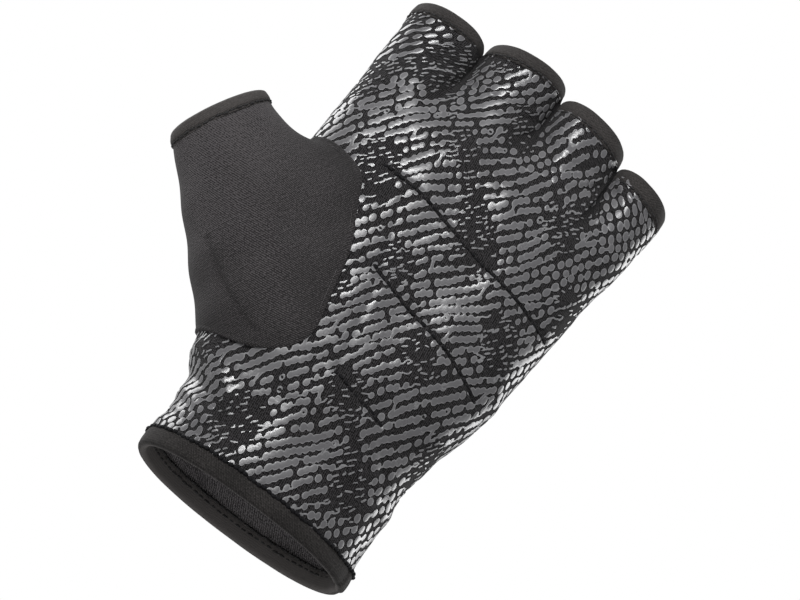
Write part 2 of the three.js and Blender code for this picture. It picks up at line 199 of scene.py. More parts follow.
def segment_distance(x: Array, z: Array, starts: Array, ends: Array) -> Array:
    """The distance from each place to the nearest of some segments.

    Args:
        x: Places across.
        z: Places up.
        starts: The segments' starts, one a row.
        ends: The segments' ends, one a row.

    Returns:
        The least distance at each place.
    """
    nearest = np.full(np.broadcast(x, z).shape, np.inf)
    for (ax, az), (bx, bz) in zip(starts, ends):
        dx, dz = bx - ax, bz - az
        share = np.clip(((x - ax) * dx + (z - az) * dz) / max(dx * dx + dz * dz, TINY), 0, 1)
        nearest = np.minimum(nearest, np.hypot(x - ax - share * dx, z - az - share * dz))
    return nearest


@dataclass(frozen=True)
class HandForm:
    """The hand's form inside the glove, from the sizes of the CAD solids.

    A section row holds its height, the half-widths to the thumb side and the little finger side, the depths
    to the palm and the back, and the power of its rounded outline.
    """

    sections: tuple[tuple[float, ...], ...] = (
        (0, 31.8, 31.0, 22.0, 23.0, 2.2),
        (8, 32.0, 30.7, 21.2, 21.4, 2.2),
        (18, 31.9, 30.3, 20.0, 19.4, 2.25),
        (27, 34.9, 29.9, 20.0, 18.4, 2.3),
        (36, 38.0, 30.6, 20.6, 17.8, 2.35),
        (54, 40.0, 35.0, 20.8, 17.4, 2.4),
        (74, 42.8, 37.7, 19.6, 16.9, 2.5),
        (93, 44.8, 39.1, 17.8, 15.8, 2.6),
        (112, 44.6, 41.5, 15.4, 14.2, 2.8),
        (126, 44.6, 43.7, 13.1, 12.4, 3.1),
        (140, 44.7, 44.1, 11.8, 11.3, 3.1),
        (156, 44.7, 44.1, 11.6, 11.1, 3.1),
    )
    fingers: tuple[Finger, ...] = (
        Finger("index", -44.8, -22.0, 11.6, 11.0, 143.2, 0.05),
        Finger("middle", -22.0, 2.3, 12.0, 11.4, 147.0, 0.09),
        Finger("ring", 2.3, 25.3, 11.6, 11.0, 144.1, -0.14),
        Finger("little", 25.3, 43.9, 10.0, 9.6, 137.6, -0.22),
    )
    cup_depth: float = 2.2
    cup_middle: Pair = (3.0, 70.0)
    cup_half: Pair = (16.0, 26.0)
    cup_fades: float = 0.6
    gather_low: float = 107.0
    gather_high: float = 138.0
    gathered_under_rim: float = 5.5
    crotch: float = 129.0
    web_half_depths: Pair = (9.5, 3.4)
    web_heights: Pair = (114.0, 141.0)
    crease_sharpness: float = 4.0
    fan_leans: tuple[float, ...] = (-62.0, -36.0, -12.0, 14.0, 40.0, 66.0)
    fan_start: float = 3.5
    fan_length: float = 8.0
    fan_height: float = 0.5
    fan_half_width: float = 0.95
    fan_over_crotch: float = 5.0
    fan_variety: float = 0.35
    fan_turn: float = 2.7
    fan_valley: float = 0.7
    swells: tuple[tuple[float, float, int], ...] = ((0.26, 19.0, 3), (0.07, 8.0, 4))
    off_edge: Pair = (0.5, 4.0)
    level_share: float = 0.06
    calm_half_width: float = 1.9
    calm_heights: Pair = (100.0, 109.0)
    finger_power: float = 2.2
    valley_power: float = 1.55
    valley_heights: Pair = (118.0, 139.0)
    side_seam_y: float = 6.0
    palm_seams: tuple[PalmSeam, ...] = (
        PalmSeam(((-24.6, 94.3), (-11.0, 92.9), (6.7, 88.6), (23.1, 85.9), (35.6, 83.9))),
        PalmSeam(((-10.9, 69.4), (1.2, 66.0), (11.9, 63.7), (24.0, 60.0), (29.6, 58.0))),
        PalmSeam(((-2.8, 40.4), (3.7, 38.6), (10.0, 37.6), (14.1, 36.7))),
    )
    folds: tuple[Fold, ...] = (
        Fold((Side.PALM,), (-16.7, 91.0), (-8.4, 68.0), -0.3, 1.1),
        Fold((Side.PALM,), (-8.4, 68.0), (-2.8, 41.0), -0.3, 1.1),
        Fold((Side.PALM,), (12.0, 39.0), (22.0, 27.5), -0.75, 1.5),
        Fold((Side.PALM,), (9.5, 33.0), (19.0, 21.0), 0.5, 2.2),
        Fold((Side.PALM, Side.BACK), (-34.0, 29.0), (-19.0, 19.0), 0.75, 1.9),
        Fold((Side.PALM, Side.BACK), (-33.5, 23.0), (-18.0, 13.0), -0.7, 1.5),
        Fold((Side.PALM, Side.BACK), (-33.5, 18.5), (-14.0, 8.5), 0.75, 1.7),
        Fold((Side.PALM, Side.BACK), (-33.5, 11.5), (-22.0, 7.0), -0.5, 1.4),
        Fold((Side.PALM, Side.BACK), (33.0, 44.0), (22.0, 35.0), -0.6, 2.0),
        Fold((Side.PALM, Side.BACK), (33.0, 25.0), (20.0, 17.0), 0.5, 2.2),
        Fold((Side.PALM,), (29.0, 74.0), (36.0, 60.0), 0.5, 2.2),
        Fold((Side.PALM,), (26.0, 24.0), (29.0, 10.0), -0.5, 1.7),
        Fold((Side.BACK,), (-24.0, 30.0), (4.0, 22.0), 0.5, 2.4),
        Fold((Side.BACK,), (-20.0, 24.0), (10.0, 15.0), -0.5, 2.2),
        Fold((Side.BACK,), (8.0, 27.0), (27.0, 16.0), 0.45, 2.0),
        Fold((Side.BACK,), (-27.0, 96.0), (-16.0, 72.0), -0.35, 2.0),
    )

    def section(self, z: Array) -> tuple[Array, ...]:
        """The section at each height, on a smooth curve through the rows.

        Args:
            z: Heights.

        Returns:
            The half-widths to the thumb side and the little finger side, the palm and back depths, the power.
        """
        table = np.array(self.sections)
        last = len(table) - 1
        upper = np.clip(np.searchsorted(table[:, 0], z), 1, last)
        r0, r1, r2, r3 = (table[np.clip(upper + shift, 0, last)] for shift in (-2, -1, 0, 1))
        span = r2[..., :1] - r1[..., :1]
        t = np.clip((np.asarray(z)[..., None] - r1[..., :1]) / span, 0, 1)
        leave = (r2 - r0) / (r2[..., :1] - r0[..., :1]) * span
        arrive = (r3 - r1) / (r3[..., :1] - r1[..., :1]) * span
        rise = r2 - r1
        value = r1 + t * (leave + t * (3 * rise - 2 * leave - arrive + t * (leave + arrive - 2 * rise)))
        return tuple(np.moveaxis(value[..., 1:], -1, 0))

    def cup(self, x: Array, z: Array) -> Array:
        """How far the palm is cupped at each place."""
        across = (x - self.cup_middle[0]) / self.cup_half[0]
        along = (z - self.cup_middle[1]) / self.cup_half[1]
        return self.cup_depth * np.exp(-across * across - along * along)

    def skin(self, turn: Array, z: Array, inset: float) -> Array:
        """Points of the hand's rounded section.

        Args:
            turn: Turns in radians, 0 at the thumb side's edge, positive over the palm.
            z: Heights.
            inset: How far the points lie in from the skin.

        Returns:
            The points, in the last axis.
        """
        thumb_side, little_side, palm, back, power = self.section(z)
        cos, sin = np.cos(turn), np.sin(turn)
        half = np.where(cos > 0, thumb_side, little_side) - inset
        depth = np.where(sin > 0, palm, back) - inset
        x = -np.sign(cos) * half * np.abs(cos) ** (2 / power)
        swelling = np.sign(sin) * depth * np.abs(sin) ** (2 / power)
        cup = np.where(sin > 0, self.cup(x, z) * smoothstep(sin, 0, self.cup_fades), 0)
        return np.stack([x, cup - swelling, np.broadcast_to(z, x.shape)], -1)

    def skin_normal(self, turn: Array, z: Array) -> Array:
        """The outward normals of the skin at turns and heights."""
        around = self.skin(turn + 0.02, z, 0) - self.skin(turn - 0.02, z, 0)
        up = self.skin(turn, z + 1, 0) - self.skin(turn, z - 1, 0)
        return unit(np.cross(around, up))

    def turn_at(self, x: Array, z: Array, on_palm: Array, inset: float) -> Array:
        """The turns at which the section passes the places across, on the palm or the back."""
        thumb_side, little_side, _, _, power = self.section(z)
        half = np.where(x < 0, thumb_side, little_side) - inset
        cos = -np.sign(x) * np.clip(np.abs(x) / half, 0, 1) ** (power / 2)
        return np.arccos(cos) * np.where(on_palm, 1, -1)

    def cloth(self, around: Array, z: Array, inset: float) -> Array:
        """Points of the hand's cloth, gathered into four tubes at the fingers, without relief.

        Args:
            around: Places round the hand, one for each finger: 0 to 4 over the palm, 4 to 8 over the back.
            z: Heights.
            inset: How far the points lie in from the skin.

        Returns:
            The points, in the last axis.
        """
        around, z = np.broadcast_arrays(np.mod(around, FULL_ROUND), z)
        on_palm = around <= FULL_ROUND / 2
        place = np.where(on_palm, around, FULL_ROUND - around)
        index = np.minimum(place.astype(int), len(self.fingers) - 1)
        sizes = np.array([[f.middle, f.half_span, f.palm, f.back, f.rim] for f in self.fingers])[index]
        middle, half_span, finger_palm, finger_back, rim = np.moveaxis(sizes, -1, 0)
        finger_x = middle - half_span * np.cos(np.pi * (place - index))
        thumb_side, little_side, palm, back, power = self.section(z)
        share = np.where(finger_x < 0, finger_x / -self.fingers[0].low, finger_x / self.fingers[-1].high)
        half = np.where(share < 0, thumb_side, little_side) - inset
        x = share * half
        fullness = np.maximum(1 - np.abs(share) ** power, 0) ** (1 / power)
        cup = np.where(on_palm, self.cup(x, z) * smoothstep(fullness, 0, self.cup_fades), 0)
        hand_depth = (np.where(on_palm, palm, back) - inset) * fullness - cup
        at_edge = (place < 0.5) | (place > len(self.fingers) - 0.5)
        tube_share = np.minimum(np.abs(finger_x - middle) / (half_span - np.where(at_edge, 0, PROUD)), 1)
        tube_power = self.tube_power(z)
        tube_fullness = (1 - tube_share**tube_power) ** (1 / tube_power)
        tube = (np.where(on_palm, finger_palm, finger_back) - PROUD - inset) * tube_fullness
        between = smoothstep(place, 0.5, 1.0) * smoothstep(len(self.fingers) - place, 0.5, 1.0)
        full, slack = self.web_half_depths
        web = between * (full + (slack - full) * smoothstep(z, *self.web_heights) - inset)
        sharpness = self.crease_sharpness
        tube = (np.maximum(tube, 0) ** sharpness + np.maximum(web, 0) ** sharpness) ** (1 / sharpness)
        gathered = smoothstep(z, self.gather_low, np.minimum(self.gather_high, rim - self.gathered_under_rim))
        depth = hand_depth + (tube - hand_depth) * gathered
        return np.stack([x, np.where(on_palm, -depth, depth), z], -1)

    def tube_power(self, z: Array) -> Array:
        """The power of the fingers' rounded outline at each height, sharper valleys further down."""
        rounding = smoothstep(z, *self.valley_heights)
        return self.valley_power + (self.finger_power - self.valley_power) * rounding

    def fans(self) -> list[Fold]:
        """The small folds that fan out below each place where two fingers meet, on both sides."""
        folds = []
        for finger in self.fingers[1:]:
            for number, lean in enumerate(self.fan_leans):
                way = np.array([math.sin(math.radians(lean)), -math.cos(math.radians(lean))])
                start = np.array([finger.low, self.crotch + self.fan_over_crotch]) + way * self.fan_start
                reach = 1.0 + self.fan_variety * math.sin(self.fan_turn * number + finger.low)
                end = start + way * self.fan_length * reach
                height = self.fan_height * (1 if number % 2 else -self.fan_valley)
                folds.append(Fold(tuple(Side), tuple(start), tuple(end), height, self.fan_half_width))
        return folds

    def relief(self, points: Array, on_palm: Array) -> Array:
        """How far the cloth stands out or dips at points, by its pressed seams, folds and soft unevenness."""
        x, z = points[..., 0], points[..., 2]
        total = sum(height * swell(x, z, length, seed) for height, length, seed in self.swells)
        off_edge = smoothstep(np.abs(points[..., 1]), *self.off_edge)
        for seam in self.palm_seams:
            near = seam.distance(x, z) / seam.half_width
            total = total - np.where(on_palm, off_edge * seam.depth * np.exp(-near * near), 0)
        for fold in (*self.folds, *self.fans()):
            near = segment_distance(x, z, np.array([fold.start]), np.array([fold.end])) / fold.half_width
            here = {Side.PALM: on_palm * off_edge, Side.BACK: ~on_palm * off_edge}
            share = 1.0 if len(fold.sides) == 2 else here[fold.sides[0]]
            total = total + share * fold.height * np.exp(-near * near)
        thumb_side, little_side, _, _, _ = self.section(z)
        for finger in self.fingers[1:]:
            to_thumb = finger.low / self.fingers[0].low * -(thumb_side - PROUD)
            to_little = finger.low / self.fingers[-1].high * (little_side - PROUD)
            near = (x - (to_thumb if finger.low < 0 else to_little)) / self.calm_half_width
            total = total * (1 - np.exp(-near * near) * smoothstep(z, *self.calm_heights))
        return total

    def outside(self, around: Array, z: Array) -> tuple[Array, Array]:
        """The outer face of the hand's cloth with its relief.

        Args:
            around: Places round the hand, as for cloth.
            z: Heights.

        Returns:
            The points and their outward normals, before the relief.
        """
        around, z = np.broadcast_arrays(around, z)
        points = self.cloth(around, z, PROUD)
        sideways = self.cloth(around + 0.02, z, PROUD) - self.cloth(around - 0.02, z, PROUD)
        up = self.cloth(around, z + 0.5, PROUD) - self.cloth(around, z - 0.5, PROUD)
        normals = unit(np.cross(sideways, up))
        on_palm = np.mod(around, FULL_ROUND) <= FULL_ROUND / 2
        return points + normals * self.relief(points, on_palm)[..., None], normals

    def seam_places(self, z: Array) -> tuple[Array, Array]:
        """The places of the two side seams on the back, as distances round from the hand's edges."""
        found = []
        furthest, halvings = 0.5, 30
        for edge, way in ((FULL_ROUND, -1), (FULL_ROUND / 2, 1)):
            low, high = np.zeros_like(z), np.full_like(z, furthest)
            for _ in range(halvings):
                guess = (low + high) / 2
                past = self.cloth(edge + way * guess, z, PROUD)[..., 1] > self.side_seam_y
                low, high = np.where(past, low, guess), np.where(past, guess, high)
            found.append((low + high) / 2)
        return found[0], found[1]

    def top_at(self, place: Array) -> Array:
        """The height of the finger rims at places across, level where two fingers meet."""
        place = np.clip(place, 0, len(self.fingers))
        index = np.minimum(place.astype(int), len(self.fingers) - 1)
        rims = np.array([[f.rim, f.slope * f.half_span] for f in self.fingers])
        rim, reach = np.moveaxis(rims[index], -1, 0)
        height = rim - reach * np.cos(np.pi * (place - index))
        for right in range(1, len(self.fingers)):
            joint = (rims[right - 1].sum() + rims[right][0] - rims[right][1]) / 2
            near = np.exp(-(((place - right) / self.level_share) ** 2))
            height = height + (joint - height) * near
        return height


@dataclass(frozen=True)
class ThumbForm:
    """The set-in thumb: its oval seam on the hand and its opening, from the sizes of the CAD solid."""

    hand: HandForm
    rim: Triple = (-68.1, -2.0, 83.5)
    axis: Triple = (-0.886, -0.06, 0.458)
    half_width: float = 13.85
    half_depth: float = 11.6
    taper_wrist_side: float = 0.32
    taper_flat: float = 0.1
    tape_height: float = 4.0
    seam_marks: tuple[tuple[Side, float, float], ...] = (
        (Side.PALM, -38.5, 91.6),
        (Side.PALM, -30.0, 88.3),
        (Side.PALM, -24.4, 80.0),
        (Side.PALM, -19.4, 68.5),
        (Side.PALM, -15.6, 54.5),
        (Side.PALM, -14.2, 44.0),
        (Side.PALM, -18.6, 36.6),
        (Side.PALM, -27.0, 33.2),
        (Side.PALM, -34.5, 33.0),
        (Side.BACK, -35.0, 36.5),
        (Side.BACK, -32.5, 46.0),
        (Side.BACK, -32.5, 62.0),
        (Side.BACK, -36.0, 78.0),
        (Side.BACK, -42.0, 89.0),
    )
    seam_half_width: float = 29.0
    seam_half_depth: float = 15.0
    skin_per_turn: float = 20.0
    along_thumb: float = 0.5
    more_below: float = 0.1
    lift: float = 0.12
    start_reach: float = 0.7
    end_reach: float = 0.75
    edge_height: float = 0.35
    edge_fades: float = 2.5
    turned_edge: tuple[Pair, ...] = (
        (-0.2, -0.9),
        (-0.75, -0.5),
        (-0.85, 0.0),
        (-0.6, 0.28),
        (-0.2, 0.36),
    )
    first_share: float = 0.004
    row_power: float = 1.15
    under_tape: tuple[float, ...] = (1.2, 2.6)

    def marks(self) -> Array:
        """The seam's marks, unrolled: skin round the hand and height."""
        x = np.array([mark[1] for mark in self.seam_marks])
        z = np.array([mark[2] for mark in self.seam_marks])
        on_palm = np.array([mark[0] is Side.PALM for mark in self.seam_marks])
        return np.stack([self.hand.turn_at(x, z, on_palm, 0) * self.skin_per_turn, z], -1)

    def seam(self, count: int) -> Array:
        """The seam, unrolled and evenly stepped."""
        return smooth_curve(self.marks(), True, count)

    def unrolled(self, points: Array, on_palm: Array) -> Array:
        """Places of the hand's cloth, unrolled as the seam is."""
        turn = self.hand.turn_at(points[..., 0], points[..., 2], on_palm, PROUD)
        return np.stack([turn * self.skin_per_turn, points[..., 2]], -1)

    def inside_by(self, places: Array) -> Array:
        """How far unrolled places lie inside the seam, negative outside it."""
        loop = self.seam(160)
        following = np.roll(loop, -1, axis=0)
        across, up = places[..., 0], places[..., 1]
        inside = np.zeros(across.shape, bool)
        for (ax, az), (bx, bz) in zip(loop, following):
            crosses = (az > up) != (bz > up)
            rise = bz - az if bz != az else TINY
            inside ^= crosses & (across < (bx - ax) * (up - az) / rise + ax)
        distance = segment_distance(across, up, loop, following)
        return np.where(inside, distance, -distance)

    def cross(self) -> tuple[Array, Array, Array]:
        """The thumb's own directions: along it, over its width and through its depth."""
        along = unit(np.array(self.axis))
        width = unit(np.cross(along, np.array([0.0, 1.0, 0.0])))
        return along, width, unit(np.cross(width, along))

    def run(self, angle: Array) -> Array:
        """The way that the cloth runs out to the opening at angles round the thumb."""
        along, width, depth = self.cross()
        narrowing = self.taper_wrist_side * np.maximum(np.cos(angle), 0)
        return along - width * narrowing[..., None] - depth * (self.taper_flat * np.sin(angle))[..., None]

    def oval(self, angle: Array, drawn_in: float, back: float) -> Array:
        """Points of the opening's oval, drawn in and set back from its rim."""
        _, width, depth = self.cross()
        across = width * ((self.half_width - drawn_in) * np.cos(angle))[..., None]
        deep = depth * ((self.half_depth - drawn_in) * np.sin(angle))[..., None]
        return np.array(self.rim) + across + deep - back * self.run(angle)

    def panel(self, columns: int, rows: int) -> Array:
        """The outer face of the thumb's cloth, from its turned-in edge at the seam to under its tape.

        Args:
            columns: Points round the thumb.
            rows: Rows between the seam and the tape.

        Returns:
            The points by row and column.
        """
        loop = self.seam(columns)
        turn, z = loop[:, 0] / self.skin_per_turn, loop[:, 1]
        in_hole = unit(self.marks().mean(0) - loop)
        root = self.hand.skin(turn, z, 0)
        ahead = self.hand.skin(turn + in_hole[:, 0] / self.skin_per_turn, z + in_hole[:, 1], 0)
        into_hole = unit(ahead - root)
        normal = self.hand.skin_normal(turn, z)
        start = root + SEAM_GAP * into_hole
        along, width, depth = self.cross()
        spoke = start - root.mean(0)
        angle = np.arctan2(spoke @ depth / self.seam_half_depth, spoke @ width / self.seam_half_width)
        end = self.oval(angle, PROUD, self.tape_height + SEAM_GAP)
        distance = np.linalg.norm(end - start, axis=-1, keepdims=True)
        share = (self.along_thumb + self.more_below * np.cos(angle))[:, None]
        leaving = unit(unit(into_hole * (1 - share) + along * share) + normal * self.lift)
        leaving = leaving * distance * self.start_reach
        arriving = self.run(angle) * distance * self.end_reach
        lines = [root + into_hole * inward + normal * out for inward, out in self.turned_edge]
        for t in np.linspace(self.first_share, 1, rows) ** self.row_power:
            point = (2 * t**3 - 3 * t**2 + 1) * start + (t**3 - 2 * t**2 + t) * leaving
            point = point + (3 * t**2 - 2 * t**3) * end + (t**3 - t**2) * arriving
            fade = np.exp(-t * distance / self.edge_fades)
            lines.append(point + normal * self.edge_height * fade)
        for further in self.under_tape:
            lines.append(end + self.run(angle) * further)
        return np.stack(lines)


@dataclass(frozen=True)
class TapeForm:
    """A knit tape folded over an opening's edge."""

    thickness: float = 2.6
    height: float = 4.0
    stitch_from_edge: float = 0.55
    stitch_depth: float = 0.3
    outside_tone: float = -0.12
    fold_rise: float = 1.15
    edge_round: float = 0.3
    groove_half_width: float = 0.42
    belly: float = 0.16
    face_points: int = 15
    fold_points: int = 11

    def profile(self) -> Array:
        """The folded tape's outline across the rim: the way in towards the opening and the way back."""
        half, rise, rounding = self.thickness / 2, self.fold_rise, self.edge_round
        down = np.linspace(self.height - rounding, rise, self.face_points)
        groove_at = self.height - self.stitch_from_edge
        groove = self.stitch_depth * np.exp(-(((down - groove_at) / self.groove_half_width) ** 2))
        belly = self.belly * np.sin(np.pi * np.clip((down - rise) / (groove_at - rise), 0, 1))
        outer = np.stack([groove - belly, down], -1)
        turn = np.linspace(0, np.pi, self.fold_points)[1:-1]
        fold = np.stack([half - half * np.cos(turn), rise - rise * np.sin(turn)], -1)
        inner = np.stack([self.thickness - outer[::-1, 0], outer[::-1, 1]], -1)
        foot = [(self.thickness - rounding, self.height), (rounding, self.height)]
        return np.vstack([outer, fold, inner, foot])


def grid_quads(rows: int, columns: int, closed: bool) -> Array:
    """The quads of a grid of points by row and column.

    Args:
        rows: Rows of points.
        columns: Points in a row.
        closed: Whether a row's last point leads on to its first.

    Returns:
        Four point numbers for each quad.
    """
    index = np.arange(rows * columns).reshape(rows, columns)
    if closed:
        index = np.hstack([index, index[:, :1]])
    corners = (index[:-1, :-1], index[:-1, 1:], index[1:, 1:], index[1:, :-1])
    return np.stack([corner.ravel() for corner in corners], -1)


def make_object(name: str, points: Array, faces: list, edges: list | None = None) -> Object:
    """A smooth mesh object at the origin.

    Args:
        name: The piece's name.
        points: Points in millimetres.
        faces: Point numbers of each face.
        edges: Point numbers of each edge, for a line without faces.

    Returns:
        The object, linked to the scene.
    """
    mesh = bpy.data.meshes.new(name)
    mesh.from_pydata((np.asarray(points, float) * MM).tolist(), edges or [], faces)
    mesh.polygons.foreach_set("use_smooth", [True] * len(mesh.polygons))
    mesh.update()
    piece = bpy.data.objects.new(name, mesh)
    bpy.context.scene.collection.objects.link(piece)
    return piece


def store(piece: Object, name: str, kind: str, values: Array) -> None:
    """Stores one value for each point of a piece as a named attribute."""
    attribute = piece.data.attributes.new(name, kind, "POINT")
    target = "value" if kind == "FLOAT" else "vector"
    attribute.data.foreach_set(target, np.ascontiguousarray(values, np.float32).ravel())


def mark_sharp(piece: Object, pairs: Array) -> None:
    """Marks the edges between some pairs of points as sharp, so that the faces beside them shade apart."""
    mesh = piece.data
    ends = np.empty(len(mesh.edges) * 2, np.int32)
    mesh.edges.foreach_get("vertices", ends)
    base = len(mesh.vertices)
    keys = [np.sort(group, axis=1) @ (base, 1) for group in (ends.reshape(-1, 2).astype(np.int64), pairs)]
    sharp = mesh.attributes.new("sharp_edge", "BOOLEAN", "EDGE")
    sharp.data.foreach_set("value", np.isin(keys[0], keys[1]))


def store_cloth_map(piece: Object, corners: Array) -> None:
    """Stores the cloth's flat coordinates at the faces' corners, in millimetres, as the piece's UV map."""
    layer = piece.data.uv_layers.new(name="cloth")
    layer.data.foreach_set("uv", np.ascontiguousarray(corners, np.float32).ravel())


def closed_corners(places: Array) -> Array:
    """The flat coordinates at the corners of a closed grid's quads, from places with one more column."""
    rows, columns = places.shape[:2]
    return places.reshape(-1, 2)[grid_quads(rows, columns, closed=False)]


def wall(piece: Object, thickness: float) -> None:
    """Gives an outer face its cloth's thickness, inwards."""
    solid = piece.modifiers.new("cloth", "SOLIDIFY")
    solid.thickness = thickness * MM
    solid.offset = -1.0
    solid.use_even_offset = False
    solid.use_rim = True
    solid.material_offset = 1


class Sketch:
    """A short hand for building one node tree."""

    def __init__(self, tree: NodeTree) -> None:
        """Starts on an empty tree."""
        self.tree = tree

    def node(self, kind: str, settings: dict | None = None, **inputs) -> Node:
        """Adds a node.

        Args:
            kind: The node's type name.
            settings: Properties to set on it.
            **inputs: Values or sockets by input name, with underscores for spaces, or in_0, in_1 by order.

        Returns:
            The node.
        """
        node = self.tree.nodes.new(kind)
        for key, value in (settings or {}).items():
            setattr(node, key, value)
        self.feed(node, **inputs)
        return node

    def feed(self, node: Node, **inputs) -> None:
        """Links sockets to a node's inputs and sets plain values on them, named as for node."""
        for key, value in inputs.items():
            name = int(key[3:]) if key.startswith("in_") else key.replace("_", " ")
            socket = node.inputs[name]
            if isinstance(value, NodeSocket):
                self.tree.links.new(value, socket)
            else:
                socket.default_value = value

    def attribute(self, name: str, output: str = "Fac") -> NodeSocket:
        """An attribute that is stored on the piece."""
        return self.node("ShaderNodeAttribute", {"attribute_name": name}).outputs[output]

    def math(self, operation: str, *values, clamp: bool = False) -> NodeSocket:
        """The result of a Math node on up to three values or sockets."""
        inputs = {f"in_{i}": value for i, value in enumerate(values)}
        return self.node("ShaderNodeMath", {"operation": operation, "use_clamp": clamp}, **inputs).outputs[0]

    def vector(self, operation: str, *values) -> NodeSocket:
        """The result of a Vector Math node on two values or sockets."""
        inputs = {f"in_{i}": value for i, value in enumerate(values)}
        return self.node("ShaderNodeVectorMath", {"operation": operation}, **inputs).outputs[0]

    def scaled(self, vector: NodeSocket, factor) -> NodeSocket:
        """A vector times a number or socket."""
        return self.node("ShaderNodeVectorMath", {"operation": "SCALE"}, in_0=vector, Scale=factor).outputs[0]

    def noise(self, vector: NodeSocket, scale, detail: float = 2.0, **more) -> NodeSocket:
        """The value of a noise texture."""
        node = self.node("ShaderNodeTexNoise", more or None, Vector=vector, Scale=scale, Detail=detail)
        return node.outputs[0]

    def spread(self, value: NodeSocket, low, high, to_low, to_high) -> NodeSocket:
        """A value carried from one range to another, held at its ends."""
        inputs = {"Value": value, "From_Min": low, "From_Max": high, "To_Min": to_low, "To_Max": to_high}
        return self.node("ShaderNodeMapRange", {"clamp": True}, **inputs).outputs[0]

    def blend(self, factor: NodeSocket, first, second: tuple) -> NodeSocket:
        """The result of mixing a colour or socket with a second colour."""
        node = self.node("ShaderNodeMix", {"data_type": "RGBA"}, in_0=factor, in_6=first, in_7=second)
        return node.outputs[2]

    def bump(self, height: NodeSocket, strength: float, depth: float) -> NodeSocket:
        """The normal of a height, its full depth in millimetres."""
        node = self.node("ShaderNodeBump", None, Height=height, Strength=strength, Distance=depth * MM)
        return node.outputs[0]


def make_group(name: str, kind: str, inputs: dict, outputs: dict) -> tuple[Sketch, dict, Node]:
    """A node group with named inputs and outputs.

    Args:
        name: The group's name.
        kind: ShaderNodeTree or GeometryNodeTree.
        inputs: Kind of socket and default value by name.
        outputs: Kind of socket by name.

    Returns:
        The sketch on its tree, what comes in by name, and the output node.
    """
    tree = bpy.data.node_groups.new(name, kind)
    for label, (socket_kind, default) in inputs.items():
        socket = tree.interface.new_socket(label, in_out="INPUT", socket_type=f"NodeSocket{socket_kind}")
        if default is not None:
            socket.default_value = default
    for label, socket_kind in outputs.items():
        tree.interface.new_socket(label, in_out="OUTPUT", socket_type=f"NodeSocket{socket_kind}")
    sketch = Sketch(tree)
    given = sketch.node("NodeGroupInput").outputs
    return sketch, {label: given[label] for label in inputs}, sketch.node("NodeGroupOutput")


def knit_group() -> NodeTree:
    """A fine knit: ribs along the cloth, crossed by courses of loops, on flat coordinates in millimetres."""
    sketch, given, result = make_group(
        "fine_knit",
        "ShaderNodeTree",
        {
            "Place": ("Vector", None),
            "Rib Pitch": ("Float", 0.5),
            "Course Pitch": ("Float", 0.5),
            "Lean": ("Float", 0.1),
            "Unevenness": ("Float", 0.55),
            "Speckle": ("Float", 1.5),
        },
        {"Height": "Float", "Tone": "Float"},
    )
    place = given["Place"]
    parts = sketch.node("ShaderNodeSeparateXYZ", in_0=place).outputs
    wander = sketch.math("SUBTRACT", sketch.noise(place, 0.35, 3.0), 0.5)
    leaning = sketch.math("MULTIPLY_ADD", parts[1], given["Lean"], parts[0])
    across = sketch.math("MULTIPLY_ADD", wander, given["Unevenness"], leaning)
    ribs = sketch.math("DIVIDE", across, given["Rib Pitch"])
    rib_turn = sketch.math("MULTIPLY", ribs, 2 * math.pi)
    rib = sketch.math("MULTIPLY_ADD", sketch.math("SINE", rib_turn), 0.5, 0.5)
    courses = sketch.math("DIVIDE", parts[1], given["Course Pitch"])
    course_turn = sketch.math("MULTIPLY", courses, 2 * math.pi)
    shifted = sketch.math("MULTIPLY_ADD", rib, 1.9, course_turn)
    course = sketch.math("MULTIPLY_ADD", sketch.math("SINE", shifted), 0.5, 0.5)
    loops = sketch.math("MULTIPLY", rib, sketch.math("MULTIPLY_ADD", course, 0.55, 0.45))
    fuzz = sketch.math("SUBTRACT", sketch.noise(place, 1.9, 2.0), 0.5)
    height = sketch.math("MULTIPLY_ADD", fuzz, 0.5, loops)
    tone = sketch.math("ADD", sketch.math("MULTIPLY_ADD", fuzz, given["Speckle"], 0.15), loops)
    sketch.feed(result, Height=height, Tone=tone)
    return sketch.tree


def mottle_group() -> NodeTree:
    """Soft patches over a piece, from its Object coordinates, between 0 and 1."""
    sketch, given, result = make_group(
        "mottle",
        "ShaderNodeTree",
        {"Patch Size mm": ("Float", 12.0), "Contrast": ("Float", 0.5)},
        {"Patches": "Float"},
    )
    spot = sketch.node("ShaderNodeTexCoord").outputs["Object"]
    scale = sketch.math("DIVIDE", 1 / MM, given["Patch Size mm"])
    raw = sketch.math("SUBTRACT", sketch.noise(spot, scale, 4.0), 0.5)
    strong = sketch.math("MULTIPLY", sketch.math("MULTIPLY", raw, given["Contrast"]), 4.0)
    sketch.feed(result, Patches=sketch.math("ADD", strong, 0.5, clamp=True))
    return sketch.tree


@dataclass(frozen=True)
class Groups:
    """The shader effects that several finishes share."""

    knit: NodeTree
    mottle: NodeTree


def new_material(name: str) -> tuple[Material, Sketch, Node]:
    """A material with its shader, ready for its nodes."""
    material = bpy.data.materials.new(name)
    material.use_nodes = True
    material.node_tree.nodes.clear()
    sketch = Sketch(material.node_tree)
    shader = sketch.node("ShaderNodeBsdfPrincipled")
    sketch.node("ShaderNodeOutputMaterial", None, Surface=shader.outputs[0])
    return material, sketch, shader


